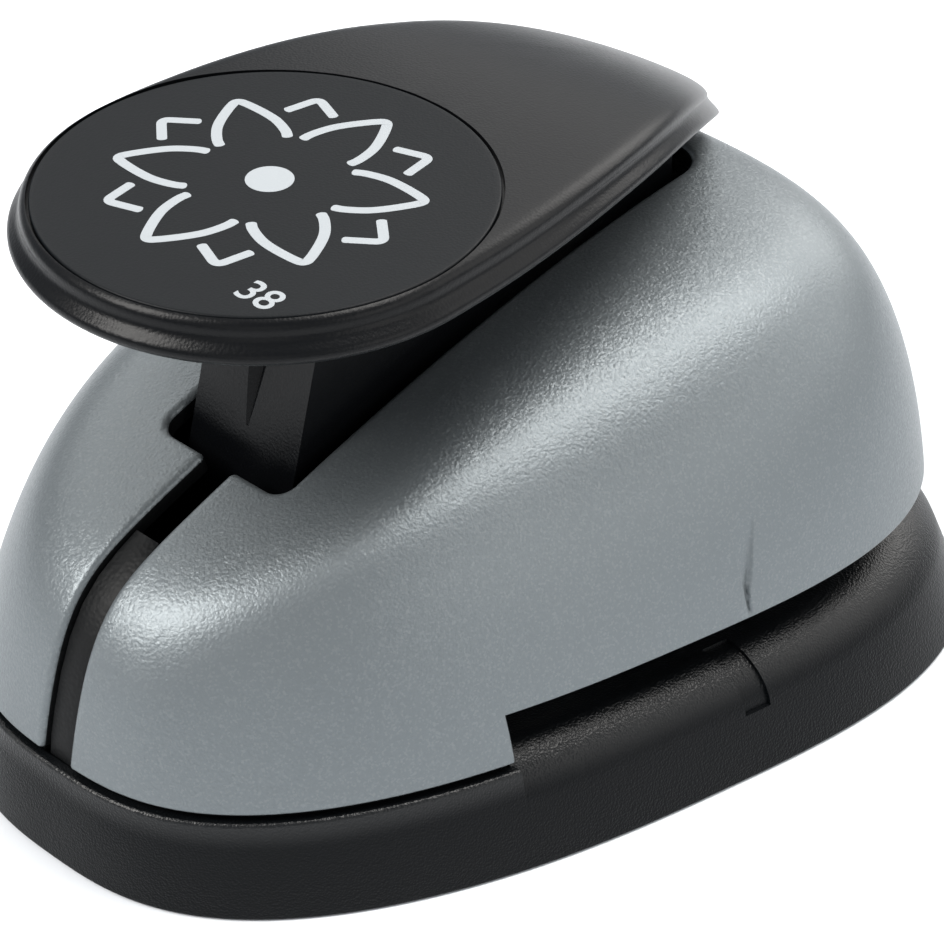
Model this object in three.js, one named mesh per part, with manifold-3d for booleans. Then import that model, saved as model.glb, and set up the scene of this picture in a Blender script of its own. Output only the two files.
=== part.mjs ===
// Lever craft punch: an egg-shaped base, a domed shell and a palm lever that drives a flower-shaped cutter.
// Millimetres, +Z up. The low end with the slit points to -Y, the tall end with the paper throat to +Y.
// The origin lies on the table, under the middle of the base. The body is symmetric about X = 0.
import * as THREE from "three";
import { mergeVertices } from "three/addons/utils/BufferGeometryUtils.js";
import Module from "manifold-3d";

const wasm = await Module();
wasm.setup();

// Base: a tray, hollow underneath
const BASE_LENGTH = 112.8;
const BASE_WIDTH = 88.2;
const BASE_PLAN_POWER = 0.732;
const BASE_EGG_SHARE = 0.29;
const BASE_WALL = 2.6;
const RIM_HEIGHT = 11.75;
const RIM_OVERHANG = 0.4;
const DECK_HEIGHT = 12.8;
const DECK_THICKNESS = 4.2;
const RIM_FRONT_RADIUS = 0.4;
const RIM_REAR_RADIUS = 5;
const FOOT_CHAMFER = 0.6;
const LEDGE_DROP = 0.7;
const LEDGE_RIM = 1.2;
const CHUTE_RADIUS = 21.4;
const CHUTE_WALL = 1.8;
const CHUTE_FOOT_GAP = 2;
const FRONT_ROOM_INSET = 1.2;
const GAUGE_WIDTH = 3.3;
const GAUGE_BOTTOM = 7.3;
const GAUGE_DEPTH = 0.45;

// Shell: one moulded dome with a well for the lever and a slit down the low end
const SHELL_LENGTH = 106.4;
const SHELL_WIDTH = 80.6;
const SHELL_MIDDLE_Y = -1.7;
const SHELL_LEAN = 0.7;
const SHELL_PLAN_POWER = 0.717;
const SHELL_EGG_SHARE = 0.283;
const SHELL_TOP_EGG_SHARE = 0.12;
const SHELL_WALL = 2.2;
const SHELL_FRONT_EDGE = 12.65;
const SHELL_REAR_EDGE = 18.05;
const NOTCH_SETBACK = 2.4;
const TONGUE_INSET = 1.1;
const CROWN_FRONT_INSET = 14.9;
const CROWN_LOW_Z = 34;
const CROWN_REAR_INSET = 10.5;
const CROWN_HIGH_Z = 48.6;
const CROWN_POWER = 1.85;
const CROWN_FALL_SHARE = 0.3;
const FRONT_POWERS = [19, 1.05];
const REAR_POWERS = [11.5, 1.05];
const SIDE_POWERS = [4.6, 1.25];
const WELL_HALF_WIDTH = 8.9;
const WELL_FRONT_ROOM = 2.7;
const WELL_REAR_SETBACK = 1.6;
const WELL_CORNER = 2;
const WELL_REAR_CORNER = 5;
const SLIT_WIDTH = 4;
const SHELL_BOSS_RADIUS = 2.8;
const SHELL_BOSS_FRONT_X = 13.5;
const SHELL_BOSS_FRONT_SHARE = 0.6549;
const SHELL_BOSS_REAR_X = 27;
const SHELL_BOSS_REAR_INSET = 22.5;
const POINTER_WIDTH = 3;
const POINTER_HEIGHT = 8.4;
const POINTER_TIP_Z = 19.9;
const POINTER_DEPTH = 0.45;
const POINTER_TOP_DEPTH = 0.12;
const POINTER_TIP_WIDTH = 0.3;

// Cutting set: the flower and the plates that it passes
const DIE_Y = 5;
const FLOWER_TIP_RADIUS = 19.05;
const FLOWER_VALLEY_RADIUS = 9.4;
const FLOWER_BELLY_SHARE = 0.62;
const PETALS = 6;
const CUT_CLEARANCE = 0.3;
const DIE_SIZE = 52;
const DIE_CORNER = 4;
const DIE_THICKNESS = 2;
const PAPER_SLOT = 1.8;
const GUIDE_THICKNESS = 2.5;
const GUIDE_HALF_WIDTH = 28.5;
const GUIDE_FRONT_HALF_WIDTH = 22;
const GUIDE_SHOULDER_INSET = 7;
const GUIDE_FRONT_SHARE = 0.56047;
const GUIDE_REAR_INSET = 1;
const SPACER_REAR_SHARE = 0.1475;
const CUTTER_LIFT = 0.5;
const CUTTER_HEIGHT = 10.2;

// Inner frame: the floor over the guide plate, the cheeks of the pivot and the spine behind the slit
const FRAME_FLOOR = 1.5;
const FRAME_GAP = 0.9;
const FRAME_OPENING_RADIUS = 20.2;
const CHEEK_THICKNESS = 3;
const CHEEK_HALF_LENGTH = 5.4;
const CHEEK_TOP_RADIUS = 4.8;
const SPINE_RECESS = 0.9;
const SPINE_LENGTH = 14.3;
const SCREW_POST_HEIGHT = 3.6;

// Ram: the holder on two posts, with a return spring round each
const HOLDER_RADIUS = 16.5;
const HOLDER_BACK = 2.6;
const HOLDER_HEAD_RADIUS = 7;
const HOLDER_HEAD = 1.7;
const EAR_THICKNESS = 1.8;
const EAR_HALF_WIDTH = 4.2;
const POST_X = 25;
const POST_RADIUS = 2;
const POST_HEIGHT = 17;
const SPRING_RADIUS = 3;
const SPRING_WIRE = 0.6;
const SPRING_TURNS = 4;

// Lever: the palm plate with its tail, the leg in the well, the cam foot and the hub
const PALM_RADIUS = 25.4;
const PALM_Y = -22.7;
const PALM_TOP = 66.1;
const TAIL_OVERHANG = 9.1;
const TAIL_POWER = 1.6;
const TAIL_DROP = 18;
const TAIL_DROP_POWER = 3.4;
const TAIL_BEND_Y = -20;
const TAIL_CROWN = 1.5;
const TAIL_THIN_SHARE = 0.45;
const TAIL_INSET_FACTOR = 1.6;
const PLATE_EDGE = 4.8;
const PLATE_LIP = 5;
const UNDER_SHARE = 0.5;
const WEB_SINK_SHARE = 0.35;
const CAVITY_FRONT_WALLS = 3;
const DISC_RADIUS = 23.4;
const DISC_POCKET = 1;
const DISC_THICKNESS = 0.7;
const LEG_HALF_WIDTH = 7.5;
const LEG_WALL = 1.8;
const LEG_FRONT_Y = -27.9;
const LEG_FRONT_LEAN = 0.27;
const LEG_BOTTOM = 29.5;
const LEG_REAR_Y = -15;
const WEB_BOTTOM = 31.1;
const WEB_REAR_SETBACK = 6.5;
const GROOVE_WIDTH = 5.4;
const GROOVE_DEPTH = 2.6;
const GROOVE_TIP_Z = 38.6;
const GROOVE_TOP_Z = 56;
const GROOVE_MIDDLE_SHARE = 0.6;
const PIVOT_INSET = 14.5;
const PIVOT_Z = 34.5;
const HUB_RADIUS = 5;
const FOOT_RADIUS = 6;
const PIN_RADIUS = 2;
const PIN_OVERHANG = 2.4;
const CLIP_RADIUS = 3.8;
const CLIP_THICKNESS = 0.8;
const CLIP_MOUTH = 2.6;

// Screws
const SCREW_RADIUS = 1.5;
const SCREW_HEAD_RADIUS = 2.7;
const SCREW_HEAD = 1.8;
const SCREW_SOCKET_RADIUS = 1.1;
const SCREW_SOCKET = 1;
const BASE_SCREW_BOSS = 3.6;
const BASE_SCREW_SEAT = 3.2;
const SHELL_SCREW_HEAD = 0.8;
const BASE_SCREW_FRONT_X = 8;
const BASE_SCREW_FRONT_SHARE = 0.42478;
const BASE_SCREW_BACK_X = 18.5;
const BASE_SCREW_BACK_SHARE = 0.28024;
const DIE_SCREW_INSET = 3.4;
const DIE_SCREW_HEAD_RADIUS = 2.2;
const DIE_SCREW_HEAD = 1;
const DIE_SCREW_LENGTH = 5.4;
const CUTTER_SCREW_BITE = 7;
const CUTTER_SCREW_HEAD = 0.9;

// Clearances and finish of the mesh
const FIT = 0.3;
const MERGE = 0.0001;
const OVERRUN = 4;
const ROUND_SEGMENTS = 24;
const PLAN_SEGMENTS = 60;
const INNER_SEGMENTS = 36;
const SHELL_LEVELS = 16;
const INNER_LEVELS = 10;
const CURVE_STEPS = 4;
const RIM_STEPS = 5;
const TOP_STEPS = 12;
const CLOSING_STEPS = 24;

// Places along Y that follow from the die and from the ends of the shell and the base
const DIE_FRONT_Y = DIE_Y - DIE_SIZE / 2;
const DIE_REAR_Y = DIE_Y + DIE_SIZE / 2;
const SHELL_FRONT_Y = SHELL_MIDDLE_Y - SHELL_LENGTH / 2;
const SHELL_REAR_Y = SHELL_MIDDLE_Y + SHELL_LENGTH / 2;
const ROOM_FRONT_Y = Math.max(SHELL_FRONT_Y, FRONT_ROOM_INSET - BASE_LENGTH / 2);
const roomY = (share) => DIE_FRONT_Y + (ROOM_FRONT_Y - DIE_FRONT_Y) * share;
const NOTCH_Y = DIE_FRONT_Y - NOTCH_SETBACK;
const CROWN_LOW_Y = SHELL_FRONT_Y + CROWN_FRONT_INSET;
const CROWN_HIGH_Y = SHELL_REAR_Y - CROWN_REAR_INSET;
const PIVOT_Y = SHELL_REAR_Y - PIVOT_INSET;
const TAIL_LENGTH = PIVOT_Y + TAIL_OVERHANG - PALM_Y;
const WEB_REAR_Y = PIVOT_Y - WEB_REAR_SETBACK;
const WELL_FRONT_Y = LEG_FRONT_Y - WELL_FRONT_ROOM;
const WELL_REAR_Y = PIVOT_Y - WELL_REAR_SETBACK;
const GUIDE_FRONT_Y = roomY(GUIDE_FRONT_SHARE);
const GUIDE_SHOULDER_Y = DIE_FRONT_Y + GUIDE_SHOULDER_INSET;
const GUIDE_REAR_Y = DIE_REAR_Y - GUIDE_REAR_INSET;
const SPACER_REAR_Y = roomY(SPACER_REAR_SHARE);
const SPINE_REAR_Y = SHELL_FRONT_Y + SPINE_LENGTH;
const SHELL_BOSS_FRONT_Y = DIE_FRONT_Y + (SHELL_FRONT_Y - DIE_FRONT_Y) * SHELL_BOSS_FRONT_SHARE;
const SHELL_BOSS_REAR_Y = SHELL_REAR_Y - SHELL_BOSS_REAR_INSET;
const SHELL_BOSS_FRONT = [SHELL_BOSS_FRONT_X, SHELL_BOSS_FRONT_Y];
const SHELL_BOSS_REAR = [SHELL_BOSS_REAR_X, SHELL_BOSS_REAR_Y];
const BASE_SCREW_FRONT = [BASE_SCREW_FRONT_X, roomY(BASE_SCREW_FRONT_SHARE)];
const BASE_SCREW_BACK = [BASE_SCREW_BACK_X, roomY(BASE_SCREW_BACK_SHARE)];
const BASE_SCREW_PLACES = [BASE_SCREW_FRONT, BASE_SCREW_BACK];

// Heights that follow from the stack
const DIE_BOTTOM = DECK_HEIGHT - DIE_THICKNESS;
const GUIDE_BOTTOM = DECK_HEIGHT + PAPER_SLOT;
const GUIDE_TOP = GUIDE_BOTTOM + GUIDE_THICKNESS;
const FLOOR_TOP = GUIDE_TOP + FRAME_FLOOR;
const CUTTER_BOTTOM = GUIDE_BOTTOM + CUTTER_LIFT;
const HOLDER_BOTTOM = CUTTER_BOTTOM + CUTTER_HEIGHT;
const HEAD_BOTTOM = HOLDER_BOTTOM + HOLDER_BACK;
const HEAD_TOP = HEAD_BOTTOM + HOLDER_HEAD;
const EAR_BOTTOM = HEAD_BOTTOM - EAR_THICKNESS;
const FOOT_BOTTOM = HEAD_TOP + FIT;
const FOOT_Z = FOOT_BOTTOM + FOOT_RADIUS;
const CHEEK_INNER = WELL_HALF_WIDTH + 2 * FIT;
const CHEEK_OUTER = CHEEK_INNER + CHEEK_THICKNESS;
const HUB_HALF_WIDTH = CHEEK_INNER - FIT;
const PIN_HALF_LENGTH = CHEEK_OUTER + PIN_OVERHANG;

const finish = {
  silver: new THREE.MeshStandardMaterial({ color: 0x8b9196, roughness: 0.42, metalness: 0.55 }),
  black: new THREE.MeshStandardMaterial({ color: 0x232528, roughness: 0.5, metalness: 0 }),
  charcoal: new THREE.MeshStandardMaterial({ color: 0x36393d, roughness: 0.45, metalness: 0 }),
  disc: new THREE.MeshStandardMaterial({ color: 0x33363a, roughness: 0.5, metalness: 0 }),
  steel: new THREE.MeshStandardMaterial({ color: 0xb4b7ba, roughness: 0.3, metalness: 1 }),
  zinc: new THREE.MeshStandardMaterial({ color: 0x9a9da1, roughness: 0.5, metalness: 0.9 }),
};

// Solids and meshes

function toSolid(geometry) {
  const bare = geometry.index ? geometry.toNonIndexed() : geometry.clone();
  bare.deleteAttribute("normal");
  bare.deleteAttribute("uv");
  const merged = mergeVertices(bare, MERGE);
  return new wasm.Manifold(new wasm.Mesh({
    numProp: 3,
    vertProperties: merged.attributes.position.array,
    triVerts: new Uint32Array(merged.index.array),
  }));
}

function toMesh(name, solid, material) {
  const { vertProperties, triVerts } = solid.getMesh();
  const geometry = new THREE.BufferGeometry();
  geometry.setAttribute("position", new THREE.BufferAttribute(new Float32Array(vertProperties), 3));
  geometry.setIndex(new THREE.BufferAttribute(new Uint32Array(triVerts), 1));
  geometry.computeVertexNormals();
  const mesh = new THREE.Mesh(geometry, material);
  mesh.name = name;
  return mesh;
}

function moved(geometry, x, y, z) {
  return geometry.translate(x, y, z);
}

function uprightCylinder(radius, bottom, top, x, y, segments = ROUND_SEGMENTS) {
  const geometry = new THREE.CylinderGeometry(radius, radius, top - bottom, segments);
  return toSolid(moved(geometry.rotateX(Math.PI / 2), x, y, (bottom + top) / 2));
}

function crossCylinder(radius, halfLength, y, z, segments = ROUND_SEGMENTS) {
  const geometry = new THREE.CylinderGeometry(radius, radius, 2 * halfLength, segments);
  return toSolid(moved(geometry.rotateZ(Math.PI / 2), 0, y, z));
}

function block(x0, x1, y0, y1, z0, z1) {
  const geometry = new THREE.BoxGeometry(x1 - x0, y1 - y0, z1 - z0);
  return toSolid(moved(geometry, (x0 + x1) / 2, (y0 + y1) / 2, (z0 + z1) / 2));
}

function extruded(shape, bottom, top, curveSegments = CURVE_STEPS) {
  const geometry = new THREE.ExtrudeGeometry(shape, {
    depth: top - bottom, bevelEnabled: false, curveSegments,
  });
  return toSolid(moved(geometry, 0, 0, bottom));
}

// A side profile drawn in Y and Z, given thickness along X.
function crosswise(shape, x0, x1, curveSegments = 2 * CURVE_STEPS) {
  const geometry = new THREE.ExtrudeGeometry(shape, {
    depth: x1 - x0, bevelEnabled: false, curveSegments,
  });
  const turn = new THREE.Matrix4().makeBasis(
    new THREE.Vector3(0, 1, 0), new THREE.Vector3(0, 0, 1), new THREE.Vector3(1, 0, 0),
  );
  return toSolid(moved(geometry.applyMatrix4(turn), x0, 0, 0));
}

function outlineOf(points) {
  return new THREE.Shape(points.map(([x, y]) => new THREE.Vector2(x, y)));
}

function roundedRectangle(x0, x1, y0, y1, radius) {
  const shape = new THREE.Shape();
  shape.moveTo(x0 + radius, y0);
  shape.lineTo(x1 - radius, y0);
  shape.absarc(x1 - radius, y0 + radius, radius, -Math.PI / 2, 0);
  shape.absarc(x1 - radius, y1 - radius, radius, 0, Math.PI / 2);
  shape.absarc(x0 + radius, y1 - radius, radius, Math.PI / 2, Math.PI);
  shape.absarc(x0 + radius, y0 + radius, radius, Math.PI, Math.PI * 1.5);
  return shape;
}

// Closed rings of points, lowest first and anticlockwise seen from above, joined and capped at both ends.
function lofted(rings) {
  const size = rings[0].length;
  const positions = [];
  const triangles = [];
  rings.forEach((ring) => ring.forEach((p) => positions.push(...p)));
  for (let level = 0; level + 1 < rings.length; level++) {
    for (let i = 0; i < size; i++) {
      const a = level * size + i;
      const b = level * size + (i + 1) % size;
      triangles.push(a, b, b + size, a, b + size, a + size);
    }
  }
  for (const [level, up] of [[0, false], [rings.length - 1, true]]) {
    const centre = rings[level].reduce((sum, p) => sum.map((v, k) => v + p[k] / size), [0, 0, 0]);
    const hub = positions.length / 3;
    positions.push(...centre);
    for (let i = 0; i < size; i++) {
      const a = level * size + i;
      const b = level * size + (i + 1) % size;
      if (up) triangles.push(a, b, hub);
      else triangles.push(b, a, hub);
    }
  }
  const geometry = new THREE.BufferGeometry();
  geometry.setAttribute("position", new THREE.BufferAttribute(new Float32Array(positions), 3));
  geometry.setIndex(triangles);
  return toSolid(geometry);
}

function angles(count) {
  return Array.from({ length: count }, (_, i) => (2 * Math.PI * i) / count);
}

// Egg-shaped plans

function signedPower(value, power) {
  return Math.sign(value) * Math.abs(value) ** power;
}

// Angle 0 is the low end, and angles grow anticlockwise seen from above.
function eggPoint(angle, length, width, power, eggShare) {
  const y = -signedPower(Math.cos(angle), power) * length / 2;
  const x = signedPower(Math.sin(angle), power) * width / 2 * (1 + eggShare * 2 * y / length);
  return [x, y];
}

// The base's wall leans in from the foot to a rim that lies just outside the shell.
function basePoint(angle, z, inset) {
  const foot = eggPoint(angle, BASE_LENGTH - 2 * inset, BASE_WIDTH - 2 * inset, BASE_PLAN_POWER, BASE_EGG_SHARE);
  const grown = 2 * (RIM_OVERHANG - inset);
  const rim = eggPoint(angle, SHELL_LENGTH + grown, SHELL_WIDTH + grown, SHELL_PLAN_POWER, SHELL_EGG_SHARE);
  const share = z / RIM_HEIGHT;
  return [foot[0] + (rim[0] - foot[0]) * share, foot[1] + (rim[1] + SHELL_MIDDLE_Y - foot[1]) * share, z];
}

// Shell surface

function crownHeight(y, inset) {
  const share = (CROWN_HIGH_Y - y) / (CROWN_HIGH_Y - CROWN_LOW_Y);
  const fall = CROWN_HIGH_Z - CROWN_LOW_Z;
  const drop = share > 0 ? fall * share ** CROWN_POWER : fall * CROWN_FALL_SHARE * share ** 2;
  return CROWN_HIGH_Z - inset - drop;
}

function shellPoint(angle, spread, inset) {
  const front = Math.max(0, Math.cos(angle)) ** 2;
  const rear = Math.max(0, -Math.cos(angle)) ** 2;
  const side = Math.sin(angle) ** 2;
  const mix = (k) => FRONT_POWERS[k] * front + REAR_POWERS[k] * rear + SIDE_POWERS[k] * side;
  const rise = Math.max(0, 1 - spread ** mix(0)) ** (1 / mix(1));
  const length = SHELL_LENGTH - 2 * inset;
  const [planX, planY] = eggPoint(angle, length, SHELL_WIDTH - 2 * inset, SHELL_PLAN_POWER, 0);
  const y = planY * spread;
  const egg = 1 + (SHELL_EGG_SHARE + SHELL_TOP_EGG_SHARE * rise) * 2 * y / length;
  const worldY = y + SHELL_MIDDLE_Y + SHELL_LEAN * rise;
  const z = SHELL_FRONT_EDGE + (crownHeight(worldY, inset) - SHELL_FRONT_EDGE) * rise;
  return [planX * spread * egg, worldY, z];
}

function shellDome(inset, bottom, segments, levels) {
  const ring = (spread) => angles(segments).map((angle) => shellPoint(angle, spread, inset));
  const rings = [ring(1).map(([x, y]) => [x, y, bottom])];
  for (let level = 0; level < levels; level++) rings.push(ring(1 - (level / levels) ** 2));
  return lofted(rings);
}

// The dome's outline at one height, found by closing in on the place along the ring.
function shellSectionPoint(angle, z, inset) {
  let low = 0;
  let high = 1;
  for (let step = 0; step < CLOSING_STEPS; step++) {
    const middle = (low + high) / 2;
    if (shellPoint(angle, middle, inset)[2] > z) low = middle;
    else high = middle;
  }
  const [x, y] = shellPoint(angle, low, inset);
  return [x, y, z];
}

function makeShell() {
  const outer = shellDome(0, SHELL_FRONT_EDGE, PLAN_SEGMENTS, SHELL_LEVELS);
  const tongueBottom = RIM_HEIGHT - LEDGE_DROP + FIT;
  const tongue = shellDome(TONGUE_INSET, tongueBottom, INNER_SEGMENTS, INNER_LEVELS);
  const lowPart = block(-SHELL_WIDTH, SHELL_WIDTH, -SHELL_LENGTH, NOTCH_Y, 0, SHELL_REAR_EDGE);
  const inner = shellDome(SHELL_WALL, 0, INNER_SEGMENTS, INNER_LEVELS);
  const bosses = bothSides([SHELL_BOSS_FRONT, SHELL_BOSS_REAR]).map(([x, y]) =>
    uprightCylinder(SHELL_BOSS_RADIUS, FLOOR_TOP + FIT, CROWN_HIGH_Z, x, y, 12));
  const bossScrews = bothSides([SHELL_BOSS_FRONT, SHELL_BOSS_REAR]).map(([x, y]) =>
    uprightCylinder(SCREW_RADIUS + FIT, 0, shellScrewTop() + FIT, x, y, 12));
  const inside = bosses.reduce((sum, boss) => sum.add(boss)).intersect(outer);
  const well = extruded(wellOutline(), 0, PALM_TOP);
  const slit = block(-SLIT_WIDTH / 2, SLIT_WIDTH / 2, -SHELL_LENGTH, WELL_FRONT_Y + OVERRUN, 0, PALM_TOP);
  const rearCut = block(-SHELL_WIDTH, SHELL_WIDTH, NOTCH_Y, SHELL_LENGTH, 0, SHELL_REAR_EDGE);
  let shell = outer.add(tongue.intersect(lowPart)).subtract(inner);
  shell = shell.subtract(rearCut).subtract(well).subtract(slit);
  shell = shell.add(inside);
  const pointers = [-1, 1].map((side) => pointerMark(side));
  return [...bossScrews, ...pointers].reduce((body, hole) => body.subtract(hole), shell);
}

// The shallow pointer on the shell's side: one edge upright over the die's middle, deepest at the tip.
function pointerMark(side) {
  const section = (z, width, depth) => {
    const near = shellHalfWidth(DIE_Y, z) - depth;
    const far = shellHalfWidth(DIE_Y + width, z) - depth;
    return [
      [near, DIE_Y], [near + OVERRUN, DIE_Y], [far + OVERRUN, DIE_Y + width], [far, DIE_Y + width],
    ].map(([x, y]) => [side * x, y, z]);
  };
  const top = POINTER_TIP_Z + POINTER_HEIGHT;
  const rings = [
    section(POINTER_TIP_Z, POINTER_TIP_WIDTH, POINTER_DEPTH), section(top, POINTER_WIDTH, POINTER_TOP_DEPTH),
  ];
  return lofted(side > 0 ? rings : rings.map((ring) => ring.reverse()));
}

// Half the shell's outer width at one Y and one height, found by closing in on the angle.
function shellHalfWidth(y, z) {
  let low = 0;
  let high = Math.PI;
  for (let step = 0; step < CLOSING_STEPS; step++) {
    const middle = (low + high) / 2;
    if (shellSectionPoint(middle, z, 0)[1] < y) low = middle;
    else high = middle;
  }
  return shellSectionPoint(low, z, 0)[0];
}

function wellOutline() {
  const shape = new THREE.Shape();
  const w = WELL_HALF_WIDTH;
  const c = WELL_CORNER;
  const r = WELL_REAR_CORNER;
  shape.moveTo(-w + c, WELL_FRONT_Y);
  shape.lineTo(w - c, WELL_FRONT_Y);
  shape.absarc(w - c, WELL_FRONT_Y + c, c, -Math.PI / 2, 0);
  shape.absarc(w - r, WELL_REAR_Y - r, r, 0, Math.PI / 2);
  shape.absarc(-w + r, WELL_REAR_Y - r, r, Math.PI / 2, Math.PI);
  shape.absarc(-w + c, WELL_FRONT_Y + c, c, Math.PI, Math.PI * 1.5);
  return shape;
}

function bothSides(places) {
  return places.flatMap(([x, y]) => [[-x, y], [x, y]]);
}

// Base

function baseRing(z, inset, segments = PLAN_SEGMENTS) {
  return angles(segments).map((angle) => basePoint(angle, z, inset));
}

// The base's outside with a rounded rim of one radius all the way round, solid.
function baseOutside(top, radius) {
  const rings = [baseRing(0, FOOT_CHAMFER), baseRing(FOOT_CHAMFER, 0), baseRing(DECK_HEIGHT - RIM_REAR_RADIUS, 0)];
  const first = top - radius > DECK_HEIGHT - RIM_REAR_RADIUS ? 0 : 1;
  for (let step = first; step <= RIM_STEPS; step++) {
    const turn = Math.PI / 2 * step / RIM_STEPS;
    rings.push(baseRing(top - radius * (1 - Math.sin(turn)), radius * (1 - Math.cos(turn))));
  }
  return lofted(rings);
}

function makeBase() {
  const notch = NOTCH_Y + FIT;
  const ceiling = DECK_HEIGHT + 2 * OVERRUN;
  const lowEnd = block(-BASE_WIDTH, BASE_WIDTH, -BASE_LENGTH, notch, -OVERRUN, ceiling);
  const outside = baseOutside(RIM_HEIGHT, RIM_FRONT_RADIUS).intersect(lowEnd)
    .add(baseOutside(DECK_HEIGHT, RIM_REAR_RADIUS).subtract(lowEnd));
  const cavityTop = DECK_HEIGHT - DECK_THICKNESS;
  const cavity = lofted([
    baseRing(-OVERRUN, BASE_WALL, INNER_SEGMENTS), baseRing(DECK_HEIGHT - RIM_REAR_RADIUS, BASE_WALL, INNER_SEGMENTS),
    baseRing(cavityTop, RIM_REAR_RADIUS, INNER_SEGMENTS),
  ]);
  const ledge = lofted([baseRing(RIM_HEIGHT - LEDGE_DROP, LEDGE_RIM), baseRing(RIM_HEIGHT + OVERRUN, LEDGE_RIM)])
    .intersect(lowEnd);
  const land = block(-GUIDE_FRONT_HALF_WIDTH, GUIDE_FRONT_HALF_WIDTH, GUIDE_FRONT_Y, notch + OVERRUN, cavityTop,
    DECK_HEIGHT);
  let base = outside.subtract(ledge).add(land).subtract(cavity);
  const chute = uprightCylinder(CHUTE_RADIUS + CHUTE_WALL, CHUTE_FOOT_GAP, DIE_BOTTOM - 2 * FIT, 0, DIE_Y, 36);
  const posts = bothSides(BASE_SCREW_PLACES).map(([x, y]) =>
    uprightCylinder(BASE_SCREW_BOSS, BASE_SCREW_SEAT, RIM_HEIGHT - LEDGE_DROP, x, y, 14));
  const dieBosses = dieScrewPlaces().map(([x, y]) =>
    uprightCylinder(BASE_SCREW_BOSS, dieScrewTip() - FIT - FRAME_FLOOR, DIE_BOTTOM - FIT, x, y, 12));
  base = [chute, ...posts, ...dieBosses].reduce((body, boss) => body.add(boss), base);
  const pocketHalf = DIE_SIZE / 2 + FIT;
  const pocket = extruded(roundedRectangle(-pocketHalf, pocketHalf, DIE_Y - pocketHalf, DIE_Y + pocketHalf,
    DIE_CORNER), DIE_BOTTOM - FIT, DECK_HEIGHT + OVERRUN);
  const chipHole = uprightCylinder(CHUTE_RADIUS, -OVERRUN, DECK_HEIGHT, 0, DIE_Y, 36);
  base = base.subtract(pocket).subtract(chipHole);
  const holes = [
    ...bothSides(BASE_SCREW_PLACES).map(([x, y]) =>
      uprightCylinder(SCREW_RADIUS + FIT, -OVERRUN, DECK_HEIGHT + OVERRUN, x, y, 12)),
    ...dieScrewPlaces().map(([x, y]) =>
      uprightCylinder(SCREW_RADIUS + FIT, dieScrewTip() - FIT, DECK_HEIGHT + OVERRUN, x, y, 12)),
  ];
  const marks = [-1, 1].map((side) => gaugeMark(side));
  return [...holes, ...marks].reduce((body, hole) => body.subtract(hole), base);
}

// The shallow upright recess in the rim that shows where the die's middle lies.
function gaugeMark(side) {
  const centreZ = DECK_HEIGHT - RIM_REAR_RADIUS;
  const radius = RIM_REAR_RADIUS - GAUGE_DEPTH;
  const start = Math.asin((GAUGE_BOTTOM - centreZ) / radius);
  const section = (y) => {
    const points = [[widthAt(y, GAUGE_BOTTOM) + OVERRUN, GAUGE_BOTTOM]];
    for (let step = 0; step <= RIM_STEPS; step++) {
      const turn = start + (Math.PI / 2 - start) * step / RIM_STEPS;
      const z = centreZ + radius * Math.sin(turn);
      points.push([widthAt(y, z) - RIM_REAR_RADIUS + radius * Math.cos(turn), z]);
    }
    const [edge, z] = points[points.length - 1];
    points.push([edge, z + OVERRUN], [widthAt(y, GAUGE_BOTTOM) + OVERRUN, z + OVERRUN]);
    return points.map(([x, height]) => [side * x, y, height]);
  };
  const ends = [DIE_Y - GAUGE_WIDTH / 2, DIE_Y + GAUGE_WIDTH / 2];
  return lofted(side > 0 ? ends.map(section).reverse() : ends.map(section));
}

// Half the base's width at one Y and one height, found by closing in on the angle.
function widthAt(y, z) {
  let low = 0;
  let high = Math.PI;
  for (let step = 0; step < CLOSING_STEPS; step++) {
    const middle = (low + high) / 2;
    if (basePoint(middle, z, 0)[1] < y) low = middle;
    else high = middle;
  }
  return basePoint(low, z, 0)[0];
}

// Cutting set

function flowerOutline(offset) {
  const shape = new THREE.Shape();
  const at = (radius, angle) => [radius * Math.cos(angle), DIE_Y + radius * Math.sin(angle)];
  const tip = FLOWER_TIP_RADIUS + offset;
  const valley = FLOWER_VALLEY_RADIUS + offset;
  const belly = valley + (tip - valley) * FLOWER_BELLY_SHARE;
  const half = Math.PI / PETALS;
  shape.moveTo(...at(valley, -half));
  for (let petal = 0; petal < PETALS; petal++) {
    const middle = 2 * half * petal;
    shape.quadraticCurveTo(...at(belly, middle - half * FLOWER_BELLY_SHARE), ...at(tip, middle));
    shape.quadraticCurveTo(...at(belly, middle + half * FLOWER_BELLY_SHARE), ...at(valley, middle + half));
  }
  return shape;
}

function dieScrewPlaces() {
  const reach = DIE_SIZE / 2 - DIE_SCREW_INSET;
  return [[-reach, DIE_Y - reach], [reach, DIE_Y - reach], [reach, DIE_Y + reach], [-reach, DIE_Y + reach]];
}

function dieScrewTip() {
  return DECK_HEIGHT - DIE_SCREW_LENGTH;
}

function makeDie() {
  const half = DIE_SIZE / 2;
  const plate = extruded(roundedRectangle(-half, half, DIE_Y - half, DIE_Y + half, DIE_CORNER - FIT),
    DIE_BOTTOM, DECK_HEIGHT);
  const flower = extruded(flowerOutline(0), 0, DECK_HEIGHT + OVERRUN);
  return dieScrewPlaces().reduce((body, [x, y]) => body
    .subtract(uprightCylinder(SCREW_RADIUS + FIT, 0, DECK_HEIGHT + OVERRUN, x, y, 12))
    .subtract(uprightCylinder(DIE_SCREW_HEAD_RADIUS + FIT, DECK_HEIGHT - DIE_SCREW_HEAD - FIT,
      DECK_HEIGHT + OVERRUN, x, y, 12)), plate.subtract(flower));
}

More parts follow.
